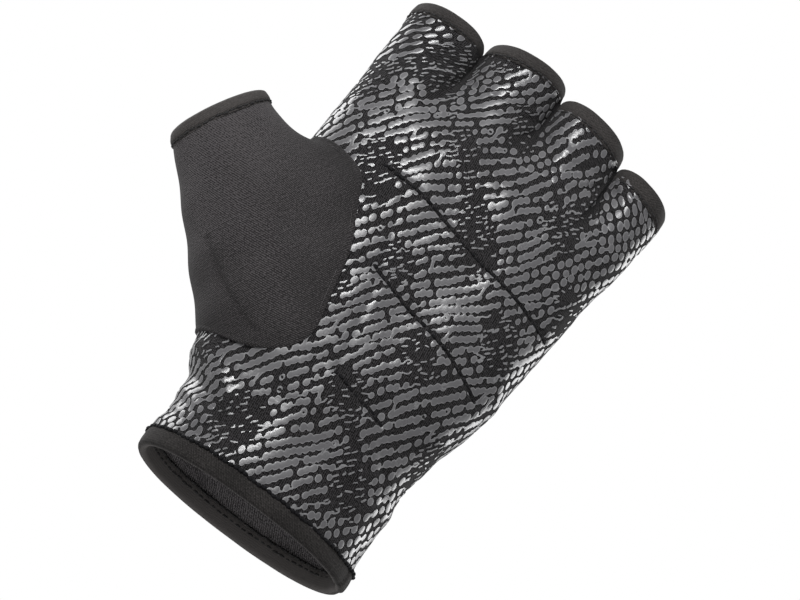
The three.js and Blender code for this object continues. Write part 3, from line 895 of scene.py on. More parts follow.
@dataclass(frozen=True)
class KnitFinish:
    """A matt elastic knit, read from the cloth's own flat coordinates, with the piece's stored tone added,
    which carries painted light and shade on some pieces.
    """

    name: str
    dark: Triple
    light: Triple
    rib_pitch: float
    course_pitch: float
    lean: float
    speckle: float = 1.5
    contrast: float = 1.3
    roughness: float = 0.85
    specular: float = 0.08
    sheen: float = 0.03
    bump: float = 0.8
    bump_depth: float = 0.16
    level: float = 0.35
    patchiness: float = 0.3
    rough_spread: float = 0.06
    sheen_roughness: float = 0.5
    from_tape: bool = False

    def make(self, groups: Groups) -> Material:
        """Builds the material.

        Args:
            groups: The shared shader effects.

        Returns:
            The material.
        """
        material, sketch, shader = new_material(self.name)
        if self.from_tape:
            outline = sketch.node("ShaderNodeSeparateXYZ", in_0=sketch.attribute("outline", "Vector")).outputs
            down = sketch.math("MULTIPLY", outline[1], 1 / MM)
            place = sketch.node("ShaderNodeCombineXYZ", in_0=sketch.attribute("around"), in_1=down).outputs[0]
        else:
            place = sketch.node("ShaderNodeUVMap", {"uv_map": "cloth"}).outputs[0]
        knit = sketch.node("ShaderNodeGroup", {"node_tree": groups.knit}, Place=place)
        sketch.feed(knit, Rib_Pitch=self.rib_pitch, Course_Pitch=self.course_pitch)
        sketch.feed(knit, Lean=self.lean, Speckle=self.speckle)
        patches = sketch.node("ShaderNodeGroup", {"node_tree": groups.mottle}).outputs[0]
        base = self.level - 0.5 * self.contrast
        stronger = sketch.math("MULTIPLY_ADD", knit.outputs["Tone"], self.contrast, base)
        # Adds the tone stored on the piece: painted light and shade on the thumb, and on the tapes their
        # outer tone with painted light on their inner faces.
        stretched = sketch.math("ADD", stronger, sketch.attribute("tone_and_painted_light"))
        shade = sketch.math("MULTIPLY_ADD", patches, self.patchiness, stretched, clamp=True)
        colour = sketch.blend(shade, (*self.dark, 1), (*self.light, 1))
        smoothest, roughest = self.roughness - self.rough_spread, self.roughness + self.rough_spread
        rough = sketch.spread(patches, 0, 1, smoothest, roughest)
        bump = sketch.bump(knit.outputs["Height"], self.bump, self.bump_depth)
        sketch.feed(shader, Base_Color=colour, Roughness=rough, Normal=bump)
        sketch.feed(shader, Specular_IOR_Level=self.specular)
        sketch.feed(shader, Sheen_Weight=self.sheen, Sheen_Roughness=self.sheen_roughness)
        return material


@dataclass(frozen=True)
class SiliconeFinish:
    """Satin silicone print with a painted highlight along its rim and a painted shadow at the foot of its
    side walls.
    """

    face: Triple = (0.059, 0.058, 0.0612)
    paler: float = 1.5
    # The colour of the painted highlight along each mark's rim.
    rim: Triple = (0.15, 0.15, 0.154)
    rim_width: float = 0.24
    # The colour of the painted shadow at the foot of each mark's side walls.
    foot: Triple = (0.008, 0.008, 0.008)
    roughness: float = 0.25
    rough_spread: Pair = (-0.06, 0.12)
    specular: float = 0.5
    patch_size: float = 9.0
    grain_scale: float = 2600.0
    wave_scale: float = 420.0
    bump: Pair = (0.35, 0.15)

    def make(self, groups: Groups) -> Material:
        """Builds the material.

        Args:
            groups: The shared shader effects.

        Returns:
            The material.
        """
        material, sketch, shader = new_material("satin_silicone")
        depth = sketch.attribute("from_edge")
        edge = sketch.spread(depth, 0.0, self.rim_width, 1.0, 0.0)
        mottle = sketch.node("ShaderNodeGroup", {"node_tree": groups.mottle}, Patch_Size_mm=self.patch_size)
        patches = mottle.outputs[0]
        spot = sketch.node("ShaderNodeTexCoord").outputs["Object"]
        grain = sketch.noise(spot, self.grain_scale, 2.0)
        uneven = sketch.math("MULTIPLY_ADD", grain, 0.3, sketch.math("MULTIPLY", patches, 0.25))
        # Painted highlight: the rim is paler along each mark's edge, mottled by the patches.
        painted_rim_highlight = sketch.math("MULTIPLY", edge, sketch.math("ADD", patches, 0.35), clamp=True)
        base = sketch.blend(uneven, (*self.face, 1), (*(self.paler * c for c in self.face), 1))
        faced = sketch.blend(painted_rim_highlight, base, (*self.rim, 1))
        # Painted shadow: the side walls darken towards their foot, a dark outline round each mark where the
        # thin silicone also shows the dark cloth.
        colour = sketch.blend(sketch.spread(depth, -0.5, -0.1, 1.0, 0.0), faced, (*self.foot, 1))
        smoothest, roughest = (self.roughness + change for change in self.rough_spread)
        rough = sketch.spread(patches, 0, 1, smoothest, roughest)
        height = sketch.math("MULTIPLY_ADD", grain, 0.25, sketch.noise(spot, self.wave_scale, 2.0))
        sketch.feed(shader, Base_Color=colour, Roughness=rough, Normal=sketch.bump(height, *self.bump))
        sketch.feed(shader, Specular_IOR_Level=self.specular)
        return material


@dataclass(frozen=True)
class ThreadFinish:
    """Black sewing thread with its twist."""

    name: str = "black_thread"
    colour: Triple = (0.003, 0.003, 0.0035)
    roughness: float = 0.75
    specular: float = 0.1

    def make(self) -> Material:
        """Builds the material."""
        material, sketch, shader = new_material(self.name)
        spot = sketch.node("ShaderNodeTexCoord").outputs["Object"]
        twist = sketch.node("ShaderNodeTexWave", {"bands_direction": "DIAGONAL"}, Vector=spot, Scale=1400.0)
        paler = (*(2 * c for c in self.colour), 1)
        colour = sketch.blend(twist.outputs[1], (*self.colour, 1), paler)
        sketch.feed(shader, Base_Color=colour, Normal=sketch.bump(twist.outputs[1], 0.4, 0.05))
        sketch.feed(shader, Roughness=self.roughness, Specular_IOR_Level=self.specular)
        return material


def grow(tree: NodeTree, source: Object, name: str, values: dict) -> Object:
    """Runs a geometry tree on a source and keeps the result as a plain mesh.

    Args:
        tree: The geometry tree.
        source: The object whose geometry it starts from, deleted afterwards.
        name: The new piece's name.
        values: Values for the tree's named inputs.

    Returns:
        The new piece.
    """
    modifier = source.modifiers.new(tree.name, "NODES")
    modifier.node_group = tree
    for item in tree.interface.items_tree:
        if item.name in values:
            modifier[item.identifier] = values[item.name]
    graph = bpy.context.evaluated_depsgraph_get()
    mesh = bpy.data.meshes.new_from_object(source.evaluated_get(graph), depsgraph=graph)
    mesh.name = name
    piece = bpy.data.objects.new(name, mesh)
    bpy.context.scene.collection.objects.link(piece)
    source.modifiers.remove(modifier)
    bpy.data.objects.remove(source)
    return piece


def tape_tree() -> NodeTree:
    """Sweeps a folded tape's profile along an opening's rim, with slight puckers."""
    sketch, given, result = make_group(
        "folded_tape",
        "GeometryNodeTree",
        {
            "Rim": ("Geometry", None),
            "Profile": ("Object", None),
            "Pucker mm": ("Float", 0.1),
            "Pucker Length mm": ("Float", 4.0),
            "Seed": ("Float", 1.0),
            "Finish": ("Material", None),
        },
        {"Tape": "Geometry"},
    )
    rim = sketch.node("GeometryNodeMeshToCurve", None, Mesh=given["Rim"]).outputs[0]
    shape = sketch.node("GeometryNodeObjectInfo", None, Object=given["Profile"])
    outline = sketch.node("GeometryNodeMeshToCurve", None, Mesh=shape.outputs["Geometry"]).outputs[0]
    swept = sketch.node("GeometryNodeCurveToMesh", None, Curve=rim, Profile_Curve=outline)
    vectors = {}
    for label in ("place", "inward", "back", "outline"):
        named = sketch.node("GeometryNodeInputNamedAttribute", {"data_type": "FLOAT_VECTOR"}, Name=label)
        vectors[label] = named.outputs["Attribute"]
    parts = sketch.node("ShaderNodeSeparateXYZ", in_0=vectors["outline"]).outputs
    flat = sketch.vector("ADD", vectors["place"], sketch.scaled(vectors["inward"], parts[0]))
    position = sketch.vector("ADD", flat, sketch.scaled(vectors["back"], parts[1]))
    scale = sketch.math("DIVIDE", 1 / MM, given["Pucker Length mm"])
    ripple = sketch.node("ShaderNodeTexNoise", {"noise_dimensions": "4D"}, Vector=position, Scale=scale)
    sketch.feed(ripple, W=given["Seed"])
    raw = sketch.math("SUBTRACT", ripple.outputs[0], 0.5)
    amount = sketch.math("MULTIPLY", sketch.math("MULTIPLY", raw, given["Pucker mm"]), 2 * MM)
    rippled = sketch.vector("ADD", position, sketch.scaled(vectors["inward"], amount))
    placed = sketch.node("GeometryNodeSetPosition", None, Geometry=swept.outputs[0], Position=rippled)
    smooth = sketch.node("GeometryNodeSetShadeSmooth", None, in_0=placed.outputs[0])
    plain = sketch.node("GeometryNodeRealizeInstances", None, Geometry=smooth.outputs[0])
    final = sketch.node("GeometryNodeSetMaterial", None, Geometry=plain.outputs[0])
    sketch.feed(final, Material=given["Finish"])
    sketch.feed(result, Tape=final.outputs[0])
    return sketch.tree


def stitch_tree() -> NodeTree:
    """Lays short stitches of thread along every line that it is given."""
    sketch, given, result = make_group(
        "stitch_line",
        "GeometryNodeTree",
        {
            "Lines": ("Geometry", None),
            "Pitch mm": ("Float", 2.2),
            "Stitch Length mm": ("Float", 1.6),
            "Thread mm": ("Float", 0.4),
            "Wander mm": ("Float", 0.08),
            "Seed": ("Int", 5),
            "Thread Finish": ("Material", None),
        },
        {"Stitches": "Geometry"},
    )
    lines = sketch.node("GeometryNodeMeshToCurve", None, Mesh=given["Lines"])
    spaced = sketch.node("GeometryNodeResampleCurve", {"mode": "LENGTH"}, Curve=lines.outputs[0])
    sketch.feed(spaced, Length=sketch.math("MULTIPLY", given["Pitch mm"], MM))
    reach = sketch.math("MULTIPLY", given["Wander mm"], MM)
    back = sketch.math("MULTIPLY", reach, -1.0)
    low = sketch.node("ShaderNodeCombineXYZ", in_0=back, in_1=back, in_2=back).outputs[0]
    stray = sketch.node("FunctionNodeRandomValue", {"data_type": "FLOAT_VECTOR"}, in_0=low)
    sketch.feed(stray, in_1=sketch.scaled(low, -1.0), Seed=given["Seed"])
    strayed = sketch.node("GeometryNodeSetPosition", None, Geometry=spaced.outputs[0])
    sketch.feed(strayed, Offset=stray.outputs[0])
    tangent = sketch.node("GeometryNodeInputTangent").outputs[0]
    turned = sketch.node("FunctionNodeAlignRotationToVector", {"axis": "X"}, Vector=tangent)
    half_length = sketch.math("MULTIPLY", given["Stitch Length mm"], MM / 2)
    half_thread = sketch.math("MULTIPLY", given["Thread mm"], MM / 2)
    size = sketch.node("ShaderNodeCombineXYZ", in_0=half_length, in_1=half_thread, in_2=half_thread)
    bead = sketch.node("GeometryNodeMeshUVSphere", None, Segments=6, Rings=6, Radius=1.0)
    laid = sketch.node("GeometryNodeInstanceOnPoints", None, Points=strayed.outputs[0])
    sketch.feed(laid, Instance=bead.outputs[0], Rotation=turned.outputs[0], Scale=size.outputs[0])
    plain = sketch.node("GeometryNodeRealizeInstances", None, Geometry=laid.outputs[0])
    smooth = sketch.node("GeometryNodeSetShadeSmooth", None, in_0=plain.outputs[0])
    final = sketch.node("GeometryNodeSetMaterial", None, Geometry=smooth.outputs[0])
    sketch.feed(final, Material=given["Thread Finish"])
    sketch.feed(result, Stitches=final.outputs[0])
    return sketch.tree


def dress(piece: Object, slot: Slot, materials: tuple[Material, ...], *nodes: str) -> None:
    """Gives a piece its finishes and its body, and hides the CAD nodes that it stands for.

    Args:
        piece: The piece.
        slot: The record's material slot; not used.
        materials: Its outer finish and, on a cloth wall, its inner one. Empty where a tree has set it.
        *nodes: The CAD nodes that it replaces.
    """
    for material in materials:
        piece.data.materials.append(material)
    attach(piece, BODY)
    if nodes:
        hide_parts(*nodes)
    LOG.info("%s: %d faces", piece.name, len(piece.data.polygons))


@dataclass
class HandCloth:
    """The palm and back panels of the hand, open at the wrist and fingers, with the hole for the thumb."""

    hand: HandForm
    thumb: ThumbForm
    per_finger: int = 42
    per_wrap: int = 8
    per_back_wrap: int = 14
    back_from_edge: float = 0.5
    bottom: float = 2.5
    straight_top: float = 112.0
    row_pitch: float = 0.8
    under_tape: float = 2.2
    under_thumb: float = 1.0

    def rows(self, place: Array) -> Array:
        """Heights by row and column: level up to the fingers, then stretched up to the rims."""
        level = np.arange(self.bottom, self.straight_top, self.row_pitch)
        top = self.hand.top_at(place) - self.under_tape
        steps = int((top.max() - self.straight_top) / self.row_pitch)
        share = np.linspace(0, 1, steps)[:, None]
        stretched = self.straight_top + (top - self.straight_top) * share
        return np.vstack([np.tile(level[:, None], (1, len(place))), stretched])

    def around(self, side: Side) -> tuple[Array, Array]:
        """The grid of one panel from side seam to side seam.

        Args:
            side: Which panel.

        Returns:
            Places round the hand and heights, by row and column.
        """
        half = FULL_ROUND / 2
        fingers = len(self.hand.fingers)
        if side is Side.PALM:
            fixed = np.linspace(0, half, fingers * self.per_finger + 1)
            wrap = self.per_wrap
        else:
            count = (fingers - 1) * self.per_finger + 1
            fixed = np.linspace(half + self.back_from_edge, FULL_ROUND - self.back_from_edge, count)
            wrap = self.per_back_wrap
        ends = np.array([fixed[0]] * wrap + list(fixed) + [fixed[-1]] * wrap)
        place = np.clip(np.where(ends <= half, ends, FULL_ROUND - ends), 0, half)
        z = self.rows(place)
        thumb_seam, _ = self.hand.seam_places(z[:, 0])
        _, little_seam = self.hand.seam_places(z[:, -1])
        shares = np.arange(wrap) / wrap
        middle = np.tile(fixed, (len(z), 1))
        if side is Side.PALM:
            first = -thumb_seam[:, None] * (1 - shares)
            last = half + little_seam[:, None] * (shares + 1 / wrap)
        else:
            start = half + little_seam[:, None]
            first = start + (fixed[0] - start) * shares
            last = fixed[-1] + (FULL_ROUND - thumb_seam[:, None] - fixed[-1]) * (shares + 1 / wrap)
        return np.hstack([first, middle, last]), z

    def build(self, side: Side) -> Object:
        """Builds one panel.

        Args:
            side: Which panel.

        Returns:
            The panel, with its cloth's thickness.
        """
        around, z = self.around(side)
        points, _ = self.hand.outside(around, z)
        on_palm = np.mod(around, FULL_ROUND) <= FULL_ROUND / 2
        depth = self.thumb.inside_by(self.thumb.unrolled(points, on_palm)) - self.under_thumb
        outside = (depth <= 0).ravel()
        quads = grid_quads(*around.shape, closed=False)
        kept = quads[outside[quads].any(1)]
        places = np.stack([arc_across(points), z], -1).reshape(-1, 2)
        used, faces = np.unique(kept, return_inverse=True)
        name = f"{side.value}_cloth"
        piece = make_object(name, points.reshape(-1, 3)[used], faces.reshape(-1, 4).tolist())
        store_cloth_map(piece, places[kept])
        wall(piece, CLOTH)
        return piece


@dataclass
class FingerWalls:
    """The cloth between the fingers: four short sleeves inside the hand's cloth, up to the tapes."""

    hand: HandForm
    columns: int = 72
    rows: int = 10
    inset: float = 2.1
    thickness: float = 0.6
    below_crotch: float = 3.0
    under_tape: float = 1.6
    map_row: float = 1.6

    def build(self) -> Object:
        """Builds the four sleeves as one piece."""
        points, faces, places = [], [], []
        for finger in self.hand.fingers:
            base = sum(len(block) for block in points)
            turn = np.linspace(0, 2 * np.pi, self.columns, endpoint=False)
            walls = []
            for inset in (self.inset, self.inset + self.thickness):
                shares = np.linspace(0, 1, self.rows)
                for share in shares if inset == self.inset else shares[::-1]:
                    low = self.hand.crotch - self.below_crotch
                    power = float(self.hand.tube_power(low + (finger.rim - self.under_tape - low) * share))
                    x, y, _ = rounded_point(turn, finger, inset, power)
                    high = finger.rim + finger.slope * x - self.under_tape
                    walls.append(np.stack([finger.middle + x, y, low + (high - low) * share], -1))
            grid = np.stack(walls + walls[:1])
            quads = grid_quads(len(grid) - 1, self.columns, closed=True)
            closing = grid_quads(2, self.columns, closed=True)
            count = (len(grid) - 1) * self.columns
            closing = np.where(closing < self.columns, closing + count - self.columns, closing - self.columns)
            quads = np.vstack([quads, closing]) + base
            block = grid[:-1].reshape(-1, 3)
            points.append(block)
            faces.append(quads)
            around = np.linspace(0, 2 * np.pi, self.columns + 1) * finger.half_span
            heights = self.map_row * np.arange(len(grid))
            flat = np.stack(np.broadcast_arrays(around[None, :], heights[:, None]), -1)
            places.append(closed_corners(flat))
        piece = make_object("finger_walls", np.vstack(points), np.vstack(faces).tolist())
        store_cloth_map(piece, np.vstack(places))
        turn_outwards(piece)
        return piece


def rounded_point(turn: Array, finger: Finger, inset: float, power: float) -> tuple[Array, ...]:
    """Points of a finger opening's rounded outline.

    Args:
        turn: Turns round the finger.
        finger: The finger.
        inset: How far the outline is drawn in.
        power: The power of the outline.

    Returns:
        The points across and through from the finger's middle, and the outward directions there.
    """
    cos, sin = np.cos(turn), np.sin(turn)
    half = finger.half_span - inset
    depth = np.where(sin < 0, finger.palm, finger.back) - inset
    across = np.sign(cos) * np.abs(cos) ** (2 / power)
    deep = np.sign(sin) * np.abs(sin) ** (2 / power)
    sideways = np.sign(cos) * np.abs(across) ** (power - 1) / half
    through = np.sign(sin) * np.abs(deep) ** (power - 1) / depth
    return across * half, deep * depth, unit(np.stack([sideways, through], -1))


def arc_across(points: Array) -> Array:
    """The length along each row of points, measured from the row's middle point."""
    step = np.linalg.norm(np.diff(points, axis=1), axis=-1)
    across = np.hstack([np.zeros((len(points), 1)), np.cumsum(step, axis=1)])
    return across - across[:, across.shape[1] // 2][:, None]


def turn_outwards(piece: Object) -> None:
    """Flips a closed piece whose faces point inwards."""
    mesh = piece.data
    corners = np.empty(len(mesh.vertices) * 3)
    mesh.vertices.foreach_get("co", corners)
    corners = corners.reshape(-1, 3)
    mesh.calc_loop_triangles()
    triangles = np.empty(len(mesh.loop_triangles) * 3, np.int32)
    mesh.loop_triangles.foreach_get("vertices", triangles)
    a, b, c = corners[triangles.reshape(-1, 3)].transpose(1, 0, 2)
    if np.einsum("ij,ij->", a, np.cross(b, c)) < 0:
        mesh.flip_normals()


@dataclass
class ThumbCloth:
    """The thumb's own panel, sewn into the oval seam."""

    thumb: ThumbForm
    columns: int = 220
    rows: int = 100
    crease: tuple[Pair, ...] = (
        (-49.0, 51.0),
        (-45.4, 47.9),
        (-38.9, 43.2),
        (-31.9, 39.5),
        (-27.4, 37.6),
        (-24.5, 36.9),
    )
    crease_depth: float = 0.55
    # Painted shade in the crease: how much darker its bottom is.
    crease_shade: float = 0.3
    crease_half_width: float = 0.65
    crease_faces: Pair = (0.1, 0.5)
    soft_swell: tuple[float, float, int] = (0.24, 15.0, 8)
    # Painted light and shade over the thumb: its strength, where it turns from darker to paler, how much
    # darker the faces towards the palm are and how much paler the cloth near the seam's middle side is.
    painted_light_strength: float = 0.95
    even_share: float = 0.42
    palm_side_shade: float = 0.27
    palm_faces: Pair = (0.6, 1.0)
    by_seam: float = 0.17
    seam_from: Pair = (-40.0, -24.0)

    def in_crease(self, points: Array, normals: Array) -> Array:
        """How far each place lies in the crease on the thumb's palm side, 1 at its bottom."""
        line = smooth_curve(np.array(self.crease), False, 30)
        distance = segment_distance(points[..., 0], points[..., 2], line[:-1], line[1:])
        near = distance / self.crease_half_width
        return smoothstep(-normals[..., 1], *self.crease_faces) * np.exp(-near * near)

    def tone(self, points: Array, normals: Array) -> Array:
        """Painted light and shade on the cloth: paler towards the opening and near the seam on the hand's
        middle side, darker on faces towards the palm, with painted shade in its crease.
        """
        share = np.linspace(0, 1, len(points))[:, None] + np.zeros(self.columns)
        palm_side_shade = self.palm_side_shade * smoothstep(-normals[..., 1], *self.palm_faces)
        by_seam = self.by_seam * smoothstep(points[..., 0], *self.seam_from)
        # Painted light paler towards the opening, painted shade on faces towards the palm.
        pale = self.painted_light_strength * (share - self.even_share - palm_side_shade + by_seam)
        return pale - self.crease_shade * self.in_crease(points, normals)

    def build(self) -> Object:
        """Builds the panel with its cloth's thickness."""
        points = self.thumb.panel(self.columns, self.rows)
        points = np.roll(points, -int(points[-1, :, 1].argmax()), axis=1)
        around = np.concatenate([points, points[:, :1]], axis=1)
        side = np.roll(points, -1, axis=1) - np.roll(points, 1, axis=1)
        normals = unit(np.cross(np.gradient(points, axis=0), side))
        if np.einsum("ijk,ijk->", normals, points - points.mean(1, keepdims=True)) < 0:
            normals = -normals
        height, length, seed = self.soft_swell
        relief = height * swell(points[..., 0], points[..., 2], length, seed)
        relief = relief - self.crease_depth * self.in_crease(points, normals)
        points = points + normals * relief[..., None]
        quads = grid_quads(*points.shape[:2], closed=True)
        piece = make_object("thumb_cloth", points.reshape(-1, 3), quads.tolist())
        along = around @ self.thumb.cross()[0]
        store_cloth_map(piece, closed_corners(np.stack([arc_across(around), along], -1)))
        # Stores the painted light and shade as the cloth's tone.
        store(piece, "tone_and_painted_light", "FLOAT", self.tone(points, normals))
        ring, above = points[self.rows // 2], points[self.rows // 2 + 1]
        facing = np.cross(ring[1] - ring[0], above[0] - ring[0])
        if facing @ (ring[0] - ring.mean(0)) < 0:
            piece.data.flip_normals()
        wall(piece, CLOTH)
        return piece


@dataclass
class Bindings:
    """The folded tapes over the wrist, finger and thumb openings, and the lines that they are sewn along."""

    hand: HandForm
    thumb: ThumbForm
    cuff: TapeForm = TapeForm(height=5.3, stitch_from_edge=0.3, stitch_depth=0.12, outside_tone=-0.32)
    plain: TapeForm = TapeForm(outside_tone=0.06)
    finger_heights: tuple[tuple[str, float], ...] = (
        ("index", 4.3),
        ("middle", 4.6),
        ("ring", 5.2),
        ("little", 5.4),
    )
    finger_gap: float = 0.15
    joint_turn: float = math.radians(170)
    joint_half_length: float = 4.0
    joint_step: float = 0.55
    joint_rises: Pair = (-1.3, -1.0)
    joint_falls: Pair = (0.8, 1.4)
    rim_points: tuple[int, int, int] = (220, 130, 120)
    pucker: float = 0.22
    pucker_length: float = 5.0
    thread_rise: float = 0.2
    second_row: float = 1.4
    # How much paler the tapes' inner faces are, as painted light.
    inside_tone: float = 0.75
    inside_shares: Pair = (0.4, 0.7)
    lines: dict[str, list[Array]] = field(default_factory=dict)

    def rim(self, name: str) -> tuple[TapeForm, Array, Array, Array]:
        """The rim of one opening.

        Args:
            name: cuff, thumb or a finger's name.

        Returns:
            Its tape, and by point the rim's outer edge, the way in and the way back to the cloth.
        """
        cuff_points, thumb_points, finger_points = self.rim_points
        if name == "cuff":
            turn = np.linspace(0, 2 * np.pi, cuff_points, endpoint=False)
            place = self.hand.skin(turn, np.zeros_like(turn), 0)
            above = self.hand.skin(turn, np.full_like(turn, self.cuff.height), 0)
            normal = self.hand.skin_normal(turn, np.ones_like(turn)) * (1, 1, 0)
            wrist_half_width = self.hand.sections[0][2]
            past = (turn - self.joint_turn) * wrist_half_width / self.joint_half_length
            joint = self.joint_step * smoothstep(past, *self.joint_rises)
            joint = joint * (1 - smoothstep(past, *self.joint_falls))
            return self.cuff, place + unit(normal) * joint[:, None], -unit(normal), unit(above - place)
        if name == "thumb":
            angle = np.linspace(0, 2 * np.pi, thumb_points, endpoint=False)
            _, width, depth = self.thumb.cross()
            inward = -width * (np.cos(angle) / self.thumb.half_width)[:, None]
            inward = inward - depth * (np.sin(angle) / self.thumb.half_depth)[:, None]
            return self.plain, self.thumb.oval(angle, 0, 0), unit(inward), -self.thumb.run(angle)
        finger = next(f for f in self.hand.fingers if f.name == name)
        turn = np.linspace(0, 2 * np.pi, finger_points, endpoint=False)
        x, y, outward = rounded_point(turn, finger, self.finger_gap, self.hand.finger_power)
        place = np.stack([finger.middle + x, y, finger.rim + finger.slope * x], -1)
        inward = np.stack([-outward[:, 0], -outward[:, 1], -finger.slope * outward[:, 0]], -1)
        tape = TapeForm(height=dict(self.finger_heights)[name])
        return tape, place, inward, np.tile([0.0, 0.0, -1.0], (len(turn), 1))

    def build(self, name: str, tree: NodeTree, finish: Material, seed: float) -> Object:
        """Builds the tape of one opening and notes its sewing lines.

        Args:
            name: cuff, thumb or a finger's name.
            tree: The geometry tree that sweeps the tape.
            finish: The tape's material.
            seed: The seed of its puckers.

        Returns:
            The tape.
        """
        tape, place, inward, back = self.rim(name)
        count = len(place)
        loop = [(i, (i + 1) % count) for i in range(count)]
        path = make_object(f"{name}_rim", place, [], loop)
        steps = np.linalg.norm(np.roll(place, -1, axis=0) - place, axis=1)
        for label, vectors in (("place", place * MM), ("inward", inward), ("back", back)):
            store(path, label, "FLOAT_VECTOR", vectors)
        store(path, "around", "FLOAT", np.concatenate([[0], np.cumsum(steps)[:-1]]))
        outline = tape.profile()
        flat = np.hstack([outline, np.zeros((len(outline), 1))])
        edges = [(i, (i + 1) % len(flat)) for i in range(len(flat))]
        profile = make_object(f"{name}_profile", flat, [], edges)
        store(profile, "outline", "FLOAT_VECTOR", flat * MM)
        # The tape's stored tone: outside_tone on its outer face, and paler towards its inner face, painted
        # light that stands in for the light reaching inside the openings.
        inside = smoothstep(outline[:, 0] / tape.thickness, *self.inside_shares)
        tone = tape.outside_tone + (self.inside_tone - tape.outside_tone) * inside
        store(profile, "tone_and_painted_light", "FLOAT", tone)
        values = {"Profile": profile, "Seed": seed, "Finish": finish}
        values |= {"Pucker mm": self.pucker, "Pucker Length mm": self.pucker_length}
        piece = grow(tree, path, f"{name}_tape", values)
        bpy.data.objects.remove(profile)
        turn_outwards(piece)
        down = tape.height - tape.stitch_from_edge
        bite = tape.stitch_depth - self.thread_rise
        outer_line = place + inward * bite + back * down
        inner_line = place + inward * (tape.thickness - bite) + back * down
        self.lines[name] = [outer_line, inner_line]
        if name == "cuff":
            self.lines[name] = [outer_line]
            self.lines["cuff_inside"] = [inner_line, inner_line - back * self.second_row]
        return piece


def closed_lines(name: str, lines: list[Array], closed: bool) -> Object:
    """Several lines as one object of edges.

    Args:
        name: The object's name.
        lines: The lines' points.
        closed: Whether each line is a loop.

    Returns:
        The object.
    """
    points, edges = [], []
    for line in lines:
        base = sum(len(block) for block in points)
        count = len(line)
        edges += [(base + i, base + (i + 1) % count) for i in range(count if closed else count - 1)]
        points.append(line)
    return make_object(name, np.vstack(points), [], edges)


@dataclass(frozen=True)
class StitchRow:
    """A row of stitches along some lines, its sizes in millimetres."""

    name: str
    closed: bool
    pitch: float
    length: float
    thread: float
    wander: float
    seed: int

    def build(self, tree: NodeTree, lines: list[Array], finish: Material) -> Object:
        """Sews and dresses the row.

        Args:
            tree: The geometry tree that lays stitches.
            lines: The lines' points.
            finish: The thread's material.

        Returns:
            The stitches.
        """
        values = {"Pitch mm": self.pitch, "Stitch Length mm": self.length, "Thread mm": self.thread}
        values |= {"Wander mm": self.wander, "Seed": self.seed, "Thread Finish": finish}
        path = closed_lines(f"{self.name}_lines", lines, self.closed)
        piece = grow(tree, path, f"{self.name}_stitches", values)
        dress(piece, Slot.STITCH_THREAD, ())
        return piece


